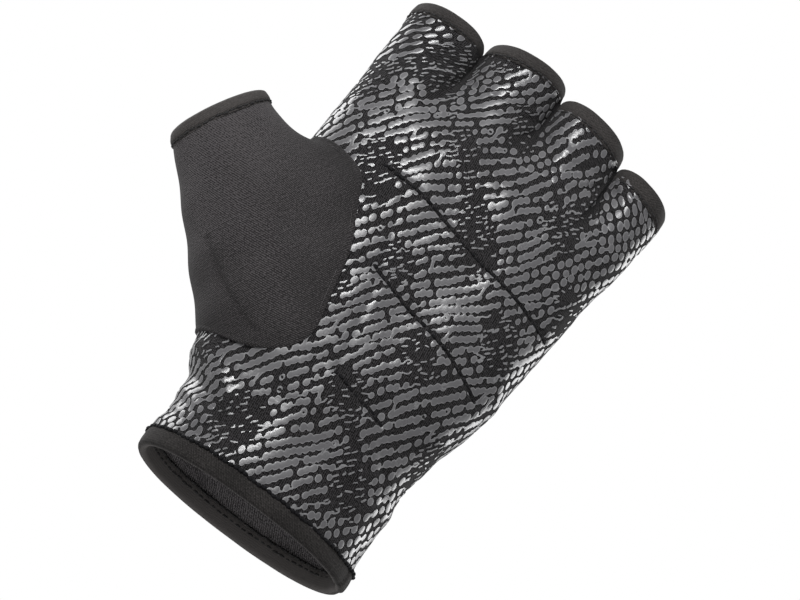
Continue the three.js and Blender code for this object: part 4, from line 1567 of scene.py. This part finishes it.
class Stencil:
    """The flat pattern of the grip print: a field on a fine grid that is positive where there is print."""

    margin = 0.6

    def __init__(self, low: Pair, high: Pair, pitch: float) -> None:
        """Starts with no print between two corners, in millimetres."""
        self.low, self.pitch = np.array(low), pitch
        columns, rows = (int((b - a) / pitch) + 1 for a, b in zip(low, high))
        self.value = np.full((rows, columns), -1.0)
        self.across = low[0] + pitch * np.arange(columns)
        self.along = low[1] + pitch * np.arange(rows)

    def window(self, low: Array, high: Array, reach: float) -> tuple | None:
        """The part of the grid between two corners and a reach beyond, with its places, or None off it."""
        reach = reach + self.margin
        first = np.floor((low - reach - self.low) / self.pitch).astype(int)
        last = np.ceil((high + reach - self.low) / self.pitch).astype(int) + 1
        rows, columns = self.value.shape
        if last[0] <= 0 or last[1] <= 0 or first[0] >= columns or first[1] >= rows:
            return None
        part = slice(max(first[1], 0), last[1]), slice(max(first[0], 0), last[0])
        return part, self.across[part[1]][None, :], self.along[part[0]][:, None]

    def bead(self, centre: Array, half_long: float, half_wide: float, angle: float) -> None:
        """Adds an oval bead."""
        found = self.window(centre, centre, half_long)
        if found is None:
            return
        part, x, y = found
        dx, dy = x - centre[0], y - centre[1]
        long = (dx * math.cos(angle) + dy * math.sin(angle)) / half_long
        wide = (dy * math.cos(angle) - dx * math.sin(angle)) / half_wide
        inside = (1 - np.sqrt(long * long + wide * wide)) * min(half_long, half_wide)
        self.value[part] = np.maximum(self.value[part], inside)

    def stroke(self, start: Array, end: Array, radius: float) -> None:
        """Adds a round-ended stroke."""
        found = self.window(np.minimum(start, end), np.maximum(start, end), radius)
        if found is None:
            return
        part, x, y = found
        inside = radius - segment_distance(x, y, start[None], end[None])
        self.value[part] = np.maximum(self.value[part], inside)

    def hole(self, centre: Array, radius: float) -> None:
        """Takes out a round hole."""
        found = self.window(centre, centre, radius)
        if found is None:
            return
        part, x, y = found
        self.value[part] = np.minimum(self.value[part], np.hypot(x - centre[0], y - centre[1]) - radius)

    def contour(self) -> tuple[Array, Array, Array, Array]:
        """Cuts the print out of the grid.

        Returns:
            The flat points, how far each lies from the print's edge, the triangles, and the pairs of points
            along the edge, with the print on their left.
        """
        rows, columns = self.value.shape
        index = np.arange(rows * columns).reshape(rows, columns)
        a, b, c, d = index[:-1, :-1], index[:-1, 1:], index[1:, 1:], index[1:, :-1]
        odd = (np.add.outer(np.arange(rows - 1), np.arange(columns - 1)) % 2 == 1)[..., None]
        first = np.where(odd, np.stack([a, b, d], -1), np.stack([a, b, c], -1))
        second = np.where(odd, np.stack([b, c, d], -1), np.stack([a, c, d], -1))
        triangles = np.concatenate([first.reshape(-1, 3), second.reshape(-1, 3)])
        value = self.value.ravel()
        inside = value[triangles] > 0
        count = inside.sum(1)
        whole = triangles[count == 3]

        def turned(group: Array, lead: Array) -> Array:
            """Turns each triangle so that its corner number lead comes first."""
            return group[np.arange(len(group))[:, None], (lead[:, None] + np.arange(3)) % 3]

        one = triangles[count == 1]
        one = turned(one, inside[count == 1].argmax(1))
        two = triangles[count == 2]
        two = turned(two, (~inside[count == 2]).argmax(1) + 1)
        pairs = np.concatenate([one[:, [0, 1]], one[:, [0, 2]], two[:, [1, 2]], two[:, [0, 2]]])
        keys, place = np.unique(pairs[:, 0] * value.size + pairs[:, 1], return_inverse=True)
        place = place.ravel() + value.size
        n, m = len(one), len(two)
        o1, o2, t1, t2 = place[:n], place[n : 2 * n], place[2 * n : 2 * n + m], place[2 * n + m :]
        faces = np.concatenate(
            [
                whole,
                np.stack([one[:, 0], o1, o2], -1),
                np.stack([two[:, 0], two[:, 1], t1], -1),
                np.stack([two[:, 0], t1, t2], -1),
            ]
        )
        edges = np.concatenate([np.stack([o1, o2], -1), np.stack([t1, t2], -1)])
        within, without = keys // value.size, keys % value.size
        share = value[within] / (value[within] - value[without])
        flat = np.stack([np.tile(self.across, rows), np.repeat(self.along, columns)], -1)
        crossing = flat[within] + (flat[without] - flat[within]) * np.clip(share, 0.05, 0.95)[:, None]
        points = np.vstack([flat, crossing])
        depth = np.concatenate([value, np.zeros(len(keys))])
        used, renumbered = np.unique(np.concatenate([faces.ravel(), edges.ravel()]), return_inverse=True)
        renumbered = renumbered.ravel()
        faces, edges = renumbered[: faces.size].reshape(-1, 3), renumbered[faces.size :].reshape(-1, 2)
        return points[used], depth[used], faces, edges


class Zone(Enum):
    """What the print does over a patch of the palm."""

    BARS = "beads run together along their rows"
    BROKEN = "short runs, cross links and rings"
    DOTS = "beads apart"
    MARKS = "small thin marks"
    BARE = "hardly any print"


@dataclass(frozen=True)
class Pen:
    """What a row of the print is drawn with: its stencil, random draws and directions."""

    stencil: Stencil
    draws: np.random.Generator
    way: Array
    over: Array

    def pick(self, sizes: Pair) -> float:
        """A random number between two."""
        return self.draws.uniform(*sizes)

    def chance(self, share: float) -> bool:
        """Whether a thing happens that does so in a share of all cases."""
        return self.draws.uniform() < share


@dataclass
class GripPrint:
    """The raised silicone print of the palm: beads in slanting rows, run together or apart by zones.

    The rows, zones and marks are a layout of this model's own.
    """

    hand: HandForm
    thumb: ThumbForm
    grid: float = 0.32
    bands: tuple[tuple[str, int], ...] = (
        ("lower", -11),
        ("low_middle", -1),
        ("high_middle", 9),
        ("upper", 34),
    )
    height: float = 0.24
    sunk: float = 0.25
    row_lean: float = math.radians(52)
    row_spacing: float = 2.85
    rows_each_way: int = 33
    row_reach: float = 98.0
    bead_pitch: float = 1.75
    dot_pitch: float = 2.75
    low: Pair = (-64.0, 4.6)
    high: Pair = (64.0, 146.0)
    centre: Pair = (0.0, 74.0)
    warps: tuple[Pair, ...] = ((1.2, 44.0), (0.35, 12.0))
    table_heights: Pair = (2.0, 148.5)
    table_step: float = 0.5
    wrap_steps: int = 8
    palm_steps: int = 160
    seam_margin: float = 0.55
    side_margin: float = 0.8
    thumb_margin: float = 0.25
    rim_margin: float = 3.3
    crease_margin: float = 0.7
    crease_length: float = 3.0
    bead_turn: Pair = (25.0, 55.0)
    dot_long: Pair = (1.05, 1.38)
    dot_wide: Pair = (0.77, 0.96)
    dot_neck: Pair = (0.2, 0.5)
    bead_long: Pair = (1.1, 1.3)
    bead_wide: Pair = (0.75, 0.9)
    bead_neck: Pair = (0.52, 0.7)
    broken_sizes: Pair = (0.76, 1.04)
    ring: Pair = (0.34, 0.46)
    link: Pair = (0.3, 0.45)
    link_lean: float = math.radians(40)
    link_reach: float = 3.3
    link_miss: float = 1.3
    tail_radius: float = 0.21
    edge_share: Pair = (0.82, 0.18)
    edge_round: float = 0.27
    seed: int = 17

    def unroll(self) -> None:
        """Tabulates the palm's outer face on flat coordinates: arc across from the middle, and height."""
        half = FULL_ROUND / 2
        self.heights = np.arange(*self.table_heights, self.table_step)
        thumb_seam, little_seam = self.hand.seam_places(self.heights)
        steps = np.linspace(0, 1, self.wrap_steps + 1)
        first = -thumb_seam[:, None] * (1 - steps[:-1])
        last = half + little_seam[:, None] * steps[1:]
        middle = np.tile(np.linspace(0, half, self.palm_steps + 1), (len(self.heights), 1))
        around = np.hstack([first, middle, last])
        points, normals = self.hand.outside(around, self.heights[:, None])
        arc = arc_across(points)
        self.arcs = np.arange(self.low[0], self.high[0] + self.table_step, self.table_step)
        self.table = np.empty((len(self.heights), len(self.arcs), 6))
        self.on_palm = np.empty(self.table.shape[:2], bool)
        both = np.concatenate([points, normals], -1)
        for row, (reached, values) in enumerate(zip(arc, both)):
            for axis in range(6):
                self.table[row, :, axis] = np.interp(self.arcs, reached, values[:, axis])
            place = np.interp(self.arcs, reached, around[row])
            self.on_palm[row] = (place >= 0) & (place <= half)
        self.left, self.right = arc[:, 0], arc[:, -1]

    def lift(self, flat: Array, out: Array) -> Array:
        """Carries flat points onto the palm.

        Args:
            flat: Arc across and height of each point.
            out: How far each stands off the cloth.

        Returns:
            The points in space.
        """
        column = (flat[:, 0] - self.arcs[0]) / self.table_step
        row = (flat[:, 1] - self.heights[0]) / self.table_step
        i = np.clip(row.astype(int), 0, len(self.heights) - 2)
        j = np.clip(column.astype(int), 0, len(self.arcs) - 2)
        s, t = (row - i)[:, None], (column - j)[:, None]
        low = self.table[i, j] * (1 - t) + self.table[i, j + 1] * t
        high = self.table[i + 1, j] * (1 - t) + self.table[i + 1, j + 1] * t
        both = low * (1 - s) + high * s
        return both[:, :3] + unit(both[:, 3:]) * out[:, None]

    def allowed(self, stencil: Stencil) -> Array:
        """How far each place of the grid lies inside the printed cloth."""
        across, along = np.meshgrid(stencil.across, stencil.along)
        flat = np.stack([across.ravel(), along.ravel()], -1)
        points = self.lift(flat, np.zeros(len(flat)))
        left = np.interp(along, self.heights, self.left)
        right = np.interp(along, self.heights, self.right)
        inside = np.minimum(across - left, right - across) - self.side_margin
        row = ((along - self.heights[0]) / self.table_step).astype(int)
        column = ((across - self.arcs[0]) / self.table_step).astype(int)
        row = np.clip(row, 0, len(self.heights) - 1)
        column = np.clip(column, 0, len(self.arcs) - 1)
        places = self.thumb.unrolled(points, self.on_palm[row, column].ravel())
        coarse = -self.thumb.inside_by(places).reshape(across.shape)
        inside = np.minimum(inside, coarse - self.thumb_margin)
        x, z = points[:, 0].reshape(across.shape), points[:, 2].reshape(across.shape)
        for seam in self.hand.palm_seams:
            inside = np.minimum(inside, seam.distance(x, z) - self.seam_margin)
        for finger in self.hand.fingers:
            here = (x > finger.low) & (x < finger.high)
            rim = finger.rim + finger.slope * (x - finger.middle) - self.rim_margin
            inside = np.where(here, np.minimum(inside, rim - z), inside)
        for finger in self.hand.fingers[1:]:
            below = np.maximum(self.hand.crotch - self.crease_length - z, 0)
            inside = np.minimum(inside, np.hypot(x - finger.low, below) - self.crease_margin)
        return inside

    def zone(self, spot: Array) -> Zone:
        """What the print does at a place: beads apart by the sides and fingertips, patches elsewhere."""
        x, z = float(spot[0]), float(spot[1])
        left, right = (float(np.interp(z, self.heights, side)) for side in (self.left, self.right))
        edge = max(min(x - left, right - x), 0)
        broad = float(swell(x, z, 34.0, self.seed))
        patchy = float(swell(x, z, 20.0, self.seed + 1))
        reach = 25.0 + 9.0 * float(smoothstep(-z, -60, -30)) if x < 0 else 28.0
        apart = math.exp(-((edge / reach) ** 2)) + 0.5 * float(smoothstep(z, 110, 128)) + 0.45 * broad
        by_index = float(smoothstep(z, 108, 124)) * float(smoothstep(-x, 12, 24))
        by_index = by_index * float(smoothstep(edge, 9, 16))
        if apart > 0.66 or by_index > 0.5:
            return Zone.DOTS if patchy < 0.55 - 0.75 * by_index else Zone.MARKS
        if patchy > 0.7:
            return Zone.BARE if broad > 0.3 else Zone.MARKS
        if patchy > -0.55:
            return Zone.BROKEN
        return Zone.BARS

    def draw(self) -> dict[str, Stencil]:
        """Draws the rows of beads, bars, tails and small marks.

        Returns:
            The stencil of each band of rows.
        """
        draws = np.random.default_rng(self.seed)
        stencils = {name: Stencil(self.low, self.high, self.grid) for name, _ in self.bands}
        way = np.array([math.cos(self.row_lean), math.sin(self.row_lean)])
        over = np.array([-way[1], way[0]])
        beads: list[Array] = []
        for row in range(-self.rows_each_way, self.rows_each_way + 1):
            band = next(name for name, last_row in self.bands if row < last_row)
            beads = self.draw_row(Pen(stencils[band], draws, way, over), row, beads)
        return stencils

    def draw_row(self, pen: Pen, row: int, previous: list[Array]) -> list[Array]:
        """Draws one row of the print.

        Args:
            pen: What it is drawn with.
            row: Its number, 0 in the middle.
            previous: The beads of the row before.

        Returns:
            Its beads.
        """
        along = -self.row_reach + pen.pick((0, 2))
        last, run, beads = None, 0, []
        while along < self.row_reach:
            base = np.array(self.centre) + pen.way * along + pen.over * row * self.row_spacing
            warp = 0.0
            for seed, (height, length) in enumerate(self.warps, start=self.seed + 2):
                warp += height * float(swell(base[0], base[1], length, seed))
            spot = base + pen.over * (warp + pen.draws.normal(0, 0.13)) + pen.way * pen.draws.normal(0, 0.12)
            if not (self.low[0] < spot[0] < self.high[0] and self.low[1] - 2 < spot[1] < self.high[1]):
                along += 2.0
                last = None
                continue
            zone = self.zone(spot)
            if zone in (Zone.MARKS, Zone.BARE):
                if last is not None and pen.chance(0.6):
                    self.tail(pen, last)
                if pen.chance(0.95 if zone is Zone.MARKS else 0.6):
                    self.small_marks(pen, spot)
                last, run = None, 0
                along += pen.pick((1.7, 2.4))
                continue
            last, run, step = self.bead(pen, zone, spot, last, run)
            linked = pen.chance(0.03 if zone is Zone.BARS else 0.08)
            if zone is not Zone.DOTS and previous and linked:
                self.cross_link(pen, spot, previous)
            beads.append(spot)
            along += step
        return beads

    def bead(
        self, pen: Pen, zone: Zone, spot: Array, last: Array | None, run: int
    ) -> tuple[Array | None, int, float]:
        """Adds one bead of a row and joins it to the one before, or ends the run.

        Args:
            pen: What the row is drawn with.
            zone: The zone that the bead lies in.
            spot: Its place.
            last: The bead before it, if they may join.
            run: How many beads the run has.

        Returns:
            The bead that the next one may join, the run's length, and the step along the row to the next.
        """
        lean = self.row_lean + math.radians(pen.pick(self.bead_turn))
        if zone is Zone.DOTS:
            pen.stencil.bead(spot, pen.pick(self.dot_long), pen.pick(self.dot_wide), lean)
            if last is not None and pen.chance(0.22):
                pen.stencil.stroke(last, spot, pen.pick(self.dot_neck))
            if pen.chance(0.08):
                self.tail(pen, spot)
            return spot, 0, self.dot_pitch * pen.pick((0.9, 1.12))
        small = 1.0 if zone is Zone.BARS else pen.pick(self.broken_sizes)
        pen.stencil.bead(spot, small * pen.pick(self.bead_long), small * pen.pick(self.bead_wide), lean)
        if last is not None:
            pen.stencil.stroke(last, spot, small * pen.pick(self.bead_neck))
        if pen.chance(0.03 if zone is Zone.BARS else 0.09):
            pen.stencil.hole(spot, pen.pick(self.ring))
        step = self.bead_pitch * pen.pick((0.9, 1.1))
        ends = pen.chance(0.12 + 0.03 * run if zone is Zone.BARS else 0.4)
        if not ends:
            return spot, run + 1, step
        if pen.chance(0.5):
            self.tail(pen, spot)
        return None, 0, step + pen.pick((0.6, 1.3))

    def small_marks(self, pen: Pen, spot: Array) -> None:
        """Adds up to two small marks of a sparse zone."""
        normal = pen.draws.normal
        for shift in (-0.75, 0.75):
            if pen.chance(0.75):
                middle = spot + pen.over * (shift + normal(0, 0.15)) + pen.way * normal(0, 0.3)
                half = pen.way * pen.pick((0.25, 0.75)) + pen.over * normal(0, 0.12)
                end = middle + half
                pen.stencil.stroke(middle - half, end, pen.pick((0.17, 0.27)))
                if pen.chance(0.2):
                    pen.stencil.stroke(end, end + pen.over * 0.5 + pen.way * 0.2, 0.19)

    def cross_link(self, pen: Pen, spot: Array, previous: list[Array]) -> None:
        """Joins a bead to the bead of the row before that lies nearest along the beads' lean."""
        radius = pen.pick(self.link)
        lean = self.row_lean + self.link_lean
        ahead = spot - self.link_reach * np.array([math.cos(lean), math.sin(lean)])
        nearest = min(previous, key=lambda other: float(np.hypot(*(other - ahead))))
        if np.hypot(*(nearest - ahead)) < self.link_miss:
            pen.stencil.stroke(nearest, spot, radius)

    def tail(self, pen: Pen, spot: Array) -> None:
        """Adds a thin wavy tail that leaves a bead."""
        at = spot
        side = pen.draws.choice((-1.0, 1.0))
        lift = pen.pick((0.25, 0.6))
        for step in range(int(pen.draws.integers(3, 6))):
            ahead = at + pen.way * 0.75 + pen.over * side * (lift * math.cos(1.5 * step))
            pen.stencil.stroke(at, ahead, self.tail_radius)
            at = ahead

    def build(self) -> list[Object]:
        """Builds the print's pieces, one for each band of rows."""
        self.unroll()
        pieces = []
        stencils = self.draw()
        inside = self.allowed(next(iter(stencils.values())))
        for name, stencil in stencils.items():
            stencil.value = np.minimum(stencil.value, inside)
            flat, depth, faces, edges = stencil.contour()
            at_edge, rising = self.edge_share
            top = self.height * (at_edge + rising * smoothstep(depth, 0.0, self.edge_round))
            upper, under = self.lift(flat, top), self.lift(flat, np.full(len(flat), -self.sunk))
            count = len(flat)
            sides = np.stack([edges[:, 0] + count, edges[:, 1] + count, edges[:, 1], edges[:, 0]], -1)
            every = faces.tolist() + (faces[:, ::-1] + count).tolist() + sides.tolist()
            piece = make_object(f"{name}_grip_print", np.vstack([upper, under]), every)
            mark_sharp(piece, edges)
            store(piece, "from_edge", "FLOAT", np.concatenate([depth, np.full(count, -1.0)]))
            pieces.append(piece)
        return pieces


def palm_seam_lines(hand: HandForm) -> list[Array]:
    """The sewing lines of the palm's pressed seams, just over the bottom of their grooves."""
    lines = []
    places = np.linspace(0.05, FULL_ROUND / 2 - 0.05, 400)
    for seam in hand.palm_seams:
        flat = seam.line(160)
        points = []
        for x, z in flat:
            across = hand.cloth(places, np.full_like(places, z), PROUD)[:, 0]
            points.append((float(np.interp(x, across, places)), z))
        around, z = np.array(points).T
        surface, normals = hand.outside(around, z)
        lines.append(surface + normals * 0.08)
    return lines


@dataclass(frozen=True)
class SoftLight:
    """A soft light aimed at the glove, in millimetres and watts.

    Its way from the glove is given in shares of the picture's right and up and towards the eye.
    """

    name: str
    picture_way: Triple
    away: float
    size: Pair
    power: float


@dataclass(frozen=True)
class Studio:
    """The photograph's viewpoint, plain soft light and a pale floor, in millimetres and degrees."""

    target: Triple = (-0.7, 0.0, 72.6)
    distance: float = 626.0
    tilt: float = 20.0
    roll: float = 36.7
    view_width: float = 208.0
    sensor: float = 36.0
    floor_drop: float = 420.0
    surround_front: float = 0.5
    surround_behind: float = 1.0
    surround_turn: Pair = (-0.35, 0.45)
    floor_reach: float = 2600.0
    lights: tuple[SoftLight, ...] = (
        SoftLight("strip", (0.1, 0.78, 0.61), 385, (270, 52), 1.4),
        SoftLight("soft", (0.1, 0.72, 0.72), 440, (260, 220), 0.55),
        SoftLight("fill", (-0.3, -0.4, 1.0), 900, (600, 600), 4.5),
        SoftLight("left_rim", (-0.6, 0.72, -0.5), 700, (400, 400), 3.5),
        SoftLight("right_rim", (0.8, -0.42, -0.55), 700, (400, 400), 2.9),
    )

    def axes(self) -> tuple[Array, Array, Array]:
        """The picture's right and up, and the way that the camera looks."""
        tilt, roll = math.radians(self.tilt), math.radians(self.roll)
        look = np.array([0.0, math.cos(tilt), math.sin(tilt)])
        side = np.array([1.0, 0.0, 0.0])
        above = np.cross(side, look)
        right = math.cos(roll) * side + math.sin(roll) * above
        return right, math.cos(roll) * above - math.sin(roll) * side, look

    def place(self, thing: Object, spot: Array, axes: tuple[Array, ...]) -> None:
        """Stands a camera or light at a spot, by its right, its up and the way that it looks."""
        right, up, look = axes
        turn = Matrix([right, up, -look]).transposed().to_4x4()
        thing.matrix_world = Matrix.Translation((spot * MM).tolist()) @ turn
        bpy.context.scene.collection.objects.link(thing)

    def add_camera(self) -> None:
        """Adds the camera at the photograph's viewpoint."""
        data = bpy.data.cameras.new("viewpoint")
        data.sensor_width = self.sensor
        data.lens = self.sensor * self.distance / self.view_width
        data.clip_start, data.clip_end = 0.01, 20.0
        camera = bpy.data.objects.new("viewpoint", data)
        axes = self.axes()
        self.place(camera, np.array(self.target) - self.distance * axes[2], axes)
        bpy.context.scene.camera = camera

    def add_light(self, lamp: SoftLight) -> None:
        """Adds one soft light, level with the picture."""
        data = bpy.data.lights.new(lamp.name, "AREA")
        data.shape = "RECTANGLE"
        data.size, data.size_y = lamp.size[0] * MM, lamp.size[1] * MM
        data.energy = lamp.power
        light = bpy.data.objects.new(lamp.name, data)
        right, up, look = self.axes()
        to_right, to_top, to_eye = lamp.picture_way
        way = unit(right * to_right + up * to_top - look * to_eye)
        side = unit(np.cross(-way, up))
        self.place(light, np.array(self.target) + way * lamp.away, (side, np.cross(side, -way), -way))

    def add_surroundings(self) -> None:
        """Adds the soft light from all round, white where the camera sees it."""
        scene = bpy.context.scene
        scene.view_settings.view_transform = "Standard"
        scene.view_settings.look = "None"
        world = bpy.data.worlds.new("studio")
        scene.world = world
        world.use_nodes = True
        world.node_tree.nodes.clear()
        sketch = Sketch(world.node_tree)
        look = tuple(self.axes()[2])
        way = sketch.node("ShaderNodeTexCoord").outputs["Generated"]
        facing = sketch.node("ShaderNodeVectorMath", {"operation": "DOT_PRODUCT"}, in_0=way, in_1=look)
        lit = sketch.spread(facing.outputs[1], *self.surround_turn, self.surround_front, self.surround_behind)
        seen = sketch.node("ShaderNodeLightPath").outputs["Is Camera Ray"]
        strength = sketch.math("MAXIMUM", seen, lit)
        background = sketch.node("ShaderNodeBackground", None, Color=(1, 1, 1, 1), Strength=strength)
        sketch.node("ShaderNodeOutputWorld", None, Surface=background.outputs[0])

    def add_floor(self) -> None:
        """Adds the pale floor, far below."""
        reach, drop = self.floor_reach, -self.floor_drop
        corners = [(-reach, -reach, drop), (reach, -reach, drop), (reach, reach, drop), (-reach, reach, drop)]
        floor = make_object("studio_floor", np.array(corners), [(0, 1, 2, 3)])
        material, sketch, shader = new_material("pale_floor")
        spot = sketch.node("ShaderNodeTexCoord").outputs["Object"]
        colour = sketch.blend(sketch.noise(spot, 4.0), (0.8, 0.8, 0.8, 1), (0.86, 0.86, 0.86, 1))
        sketch.feed(shader, Base_Color=colour, Roughness=0.9)
        floor.data.materials.append(material)

    def build(self) -> None:
        """Builds camera, lights, surroundings and floor."""
        self.add_camera()
        for lamp in self.lights:
            self.add_light(lamp)
        self.add_surroundings()
        self.add_floor()


def knit_finishes() -> tuple[KnitFinish, ...]:
    """The knits of the palm, of the plain panels, of their inner face, painted paler as light inside the
    glove, and of the tapes.
    """
    palm = KnitFinish(
        name="palm_knit",
        dark=(0.002, 0.002, 0.002),
        light=(0.025, 0.0238, 0.025),
        rib_pitch=0.52,
        course_pitch=0.6,
        lean=0.12,
        speckle=2.8,
    )
    plain = KnitFinish(
        name="plain_knit",
        dark=(0.011, 0.0103, 0.0106),
        light=(0.05, 0.0466, 0.048),
        rib_pitch=0.66,
        course_pitch=0.6,
        lean=-0.55,
        speckle=2.2,
        contrast=1.5,
    )
    # The inner face: a paler copy of the plain knit, painted light that stands in for the light reaching
    # inside the glove.
    inner = replace(plain, name="inner_knit", dark=(0.028, 0.0262, 0.0268), light=(0.12, 0.113, 0.116))
    tape = KnitFinish(
        name="binding_knit",
        dark=(0.008, 0.0074, 0.0072),
        light=(0.05, 0.0462, 0.0448),
        rib_pitch=0.5,
        course_pitch=0.55,
        lean=0.7,
        speckle=2.2,
        contrast=0.5,
        bump=0.4,
        from_tape=True,
    )
    return palm, plain, inner, tape


def main() -> None:
    """Builds the glove piece by piece, then the studio."""
    logging.basicConfig(level=logging.INFO, format="%(message)s")
    groups = Groups(knit_group(), mottle_group())
    knits = (finish.make(groups) for finish in knit_finishes())
    palm_cloth, plain_cloth, inner_cloth_painted_light, tape_cloth = knits
    silicone = SiliconeFinish().make(groups)
    thread = ThreadFinish().make()
    tape_thread = ThreadFinish("tape_thread", (0.012, 0.0118, 0.012)).make()

    hand = HandForm()
    thumb = ThumbForm(hand)
    cloth = HandCloth(hand, thumb)
    palm = cloth.build(Side.PALM)
    back = cloth.build(Side.BACK)
    thumb_cloth = ThumbCloth(thumb).build()
    walls = FingerWalls(hand).build()
    dress(palm, Slot.PALM_KNIT, (palm_cloth, inner_cloth_painted_light), "palm_panel")
    dress(back, Slot.PLAIN_KNIT, (plain_cloth, inner_cloth_painted_light), "back_panel")
    dress(thumb_cloth, Slot.PLAIN_KNIT, (plain_cloth, inner_cloth_painted_light), "thumb_panel")
    dress(walls, Slot.PLAIN_KNIT, (plain_cloth,))

    bindings = Bindings(hand, thumb)
    tree = tape_tree()
    tapes = {}
    for seed, name in enumerate(("cuff", "thumb", "index", "middle", "ring", "little"), start=1):
        tapes[name] = bindings.build(name, tree, tape_cloth, float(seed))
        dress(tapes[name], Slot.BINDING_TAPE, (), f"{name}_binding")

    tree = stitch_tree()
    narrow = [line for name, pair in bindings.lines.items() if name != "cuff" for line in pair]
    StitchRow("tape", True, 2.0, 1.9, 0.6, 0.12, 5).build(tree, narrow, tape_thread)
    StitchRow("cuff", True, 1.45, 1.75, 1.05, 0.2, 7).build(tree, bindings.lines["cuff"], thread)
    StitchRow("palm_seam", False, 1.9, 1.7, 0.82, 0.2, 9).build(tree, palm_seam_lines(hand), thread)

    for piece in GripPrint(hand, thumb).build():
        dress(piece, Slot.GRIP_PRINT, (silicone,))

    Studio().build()


if __name__ == "__main__":
    main()
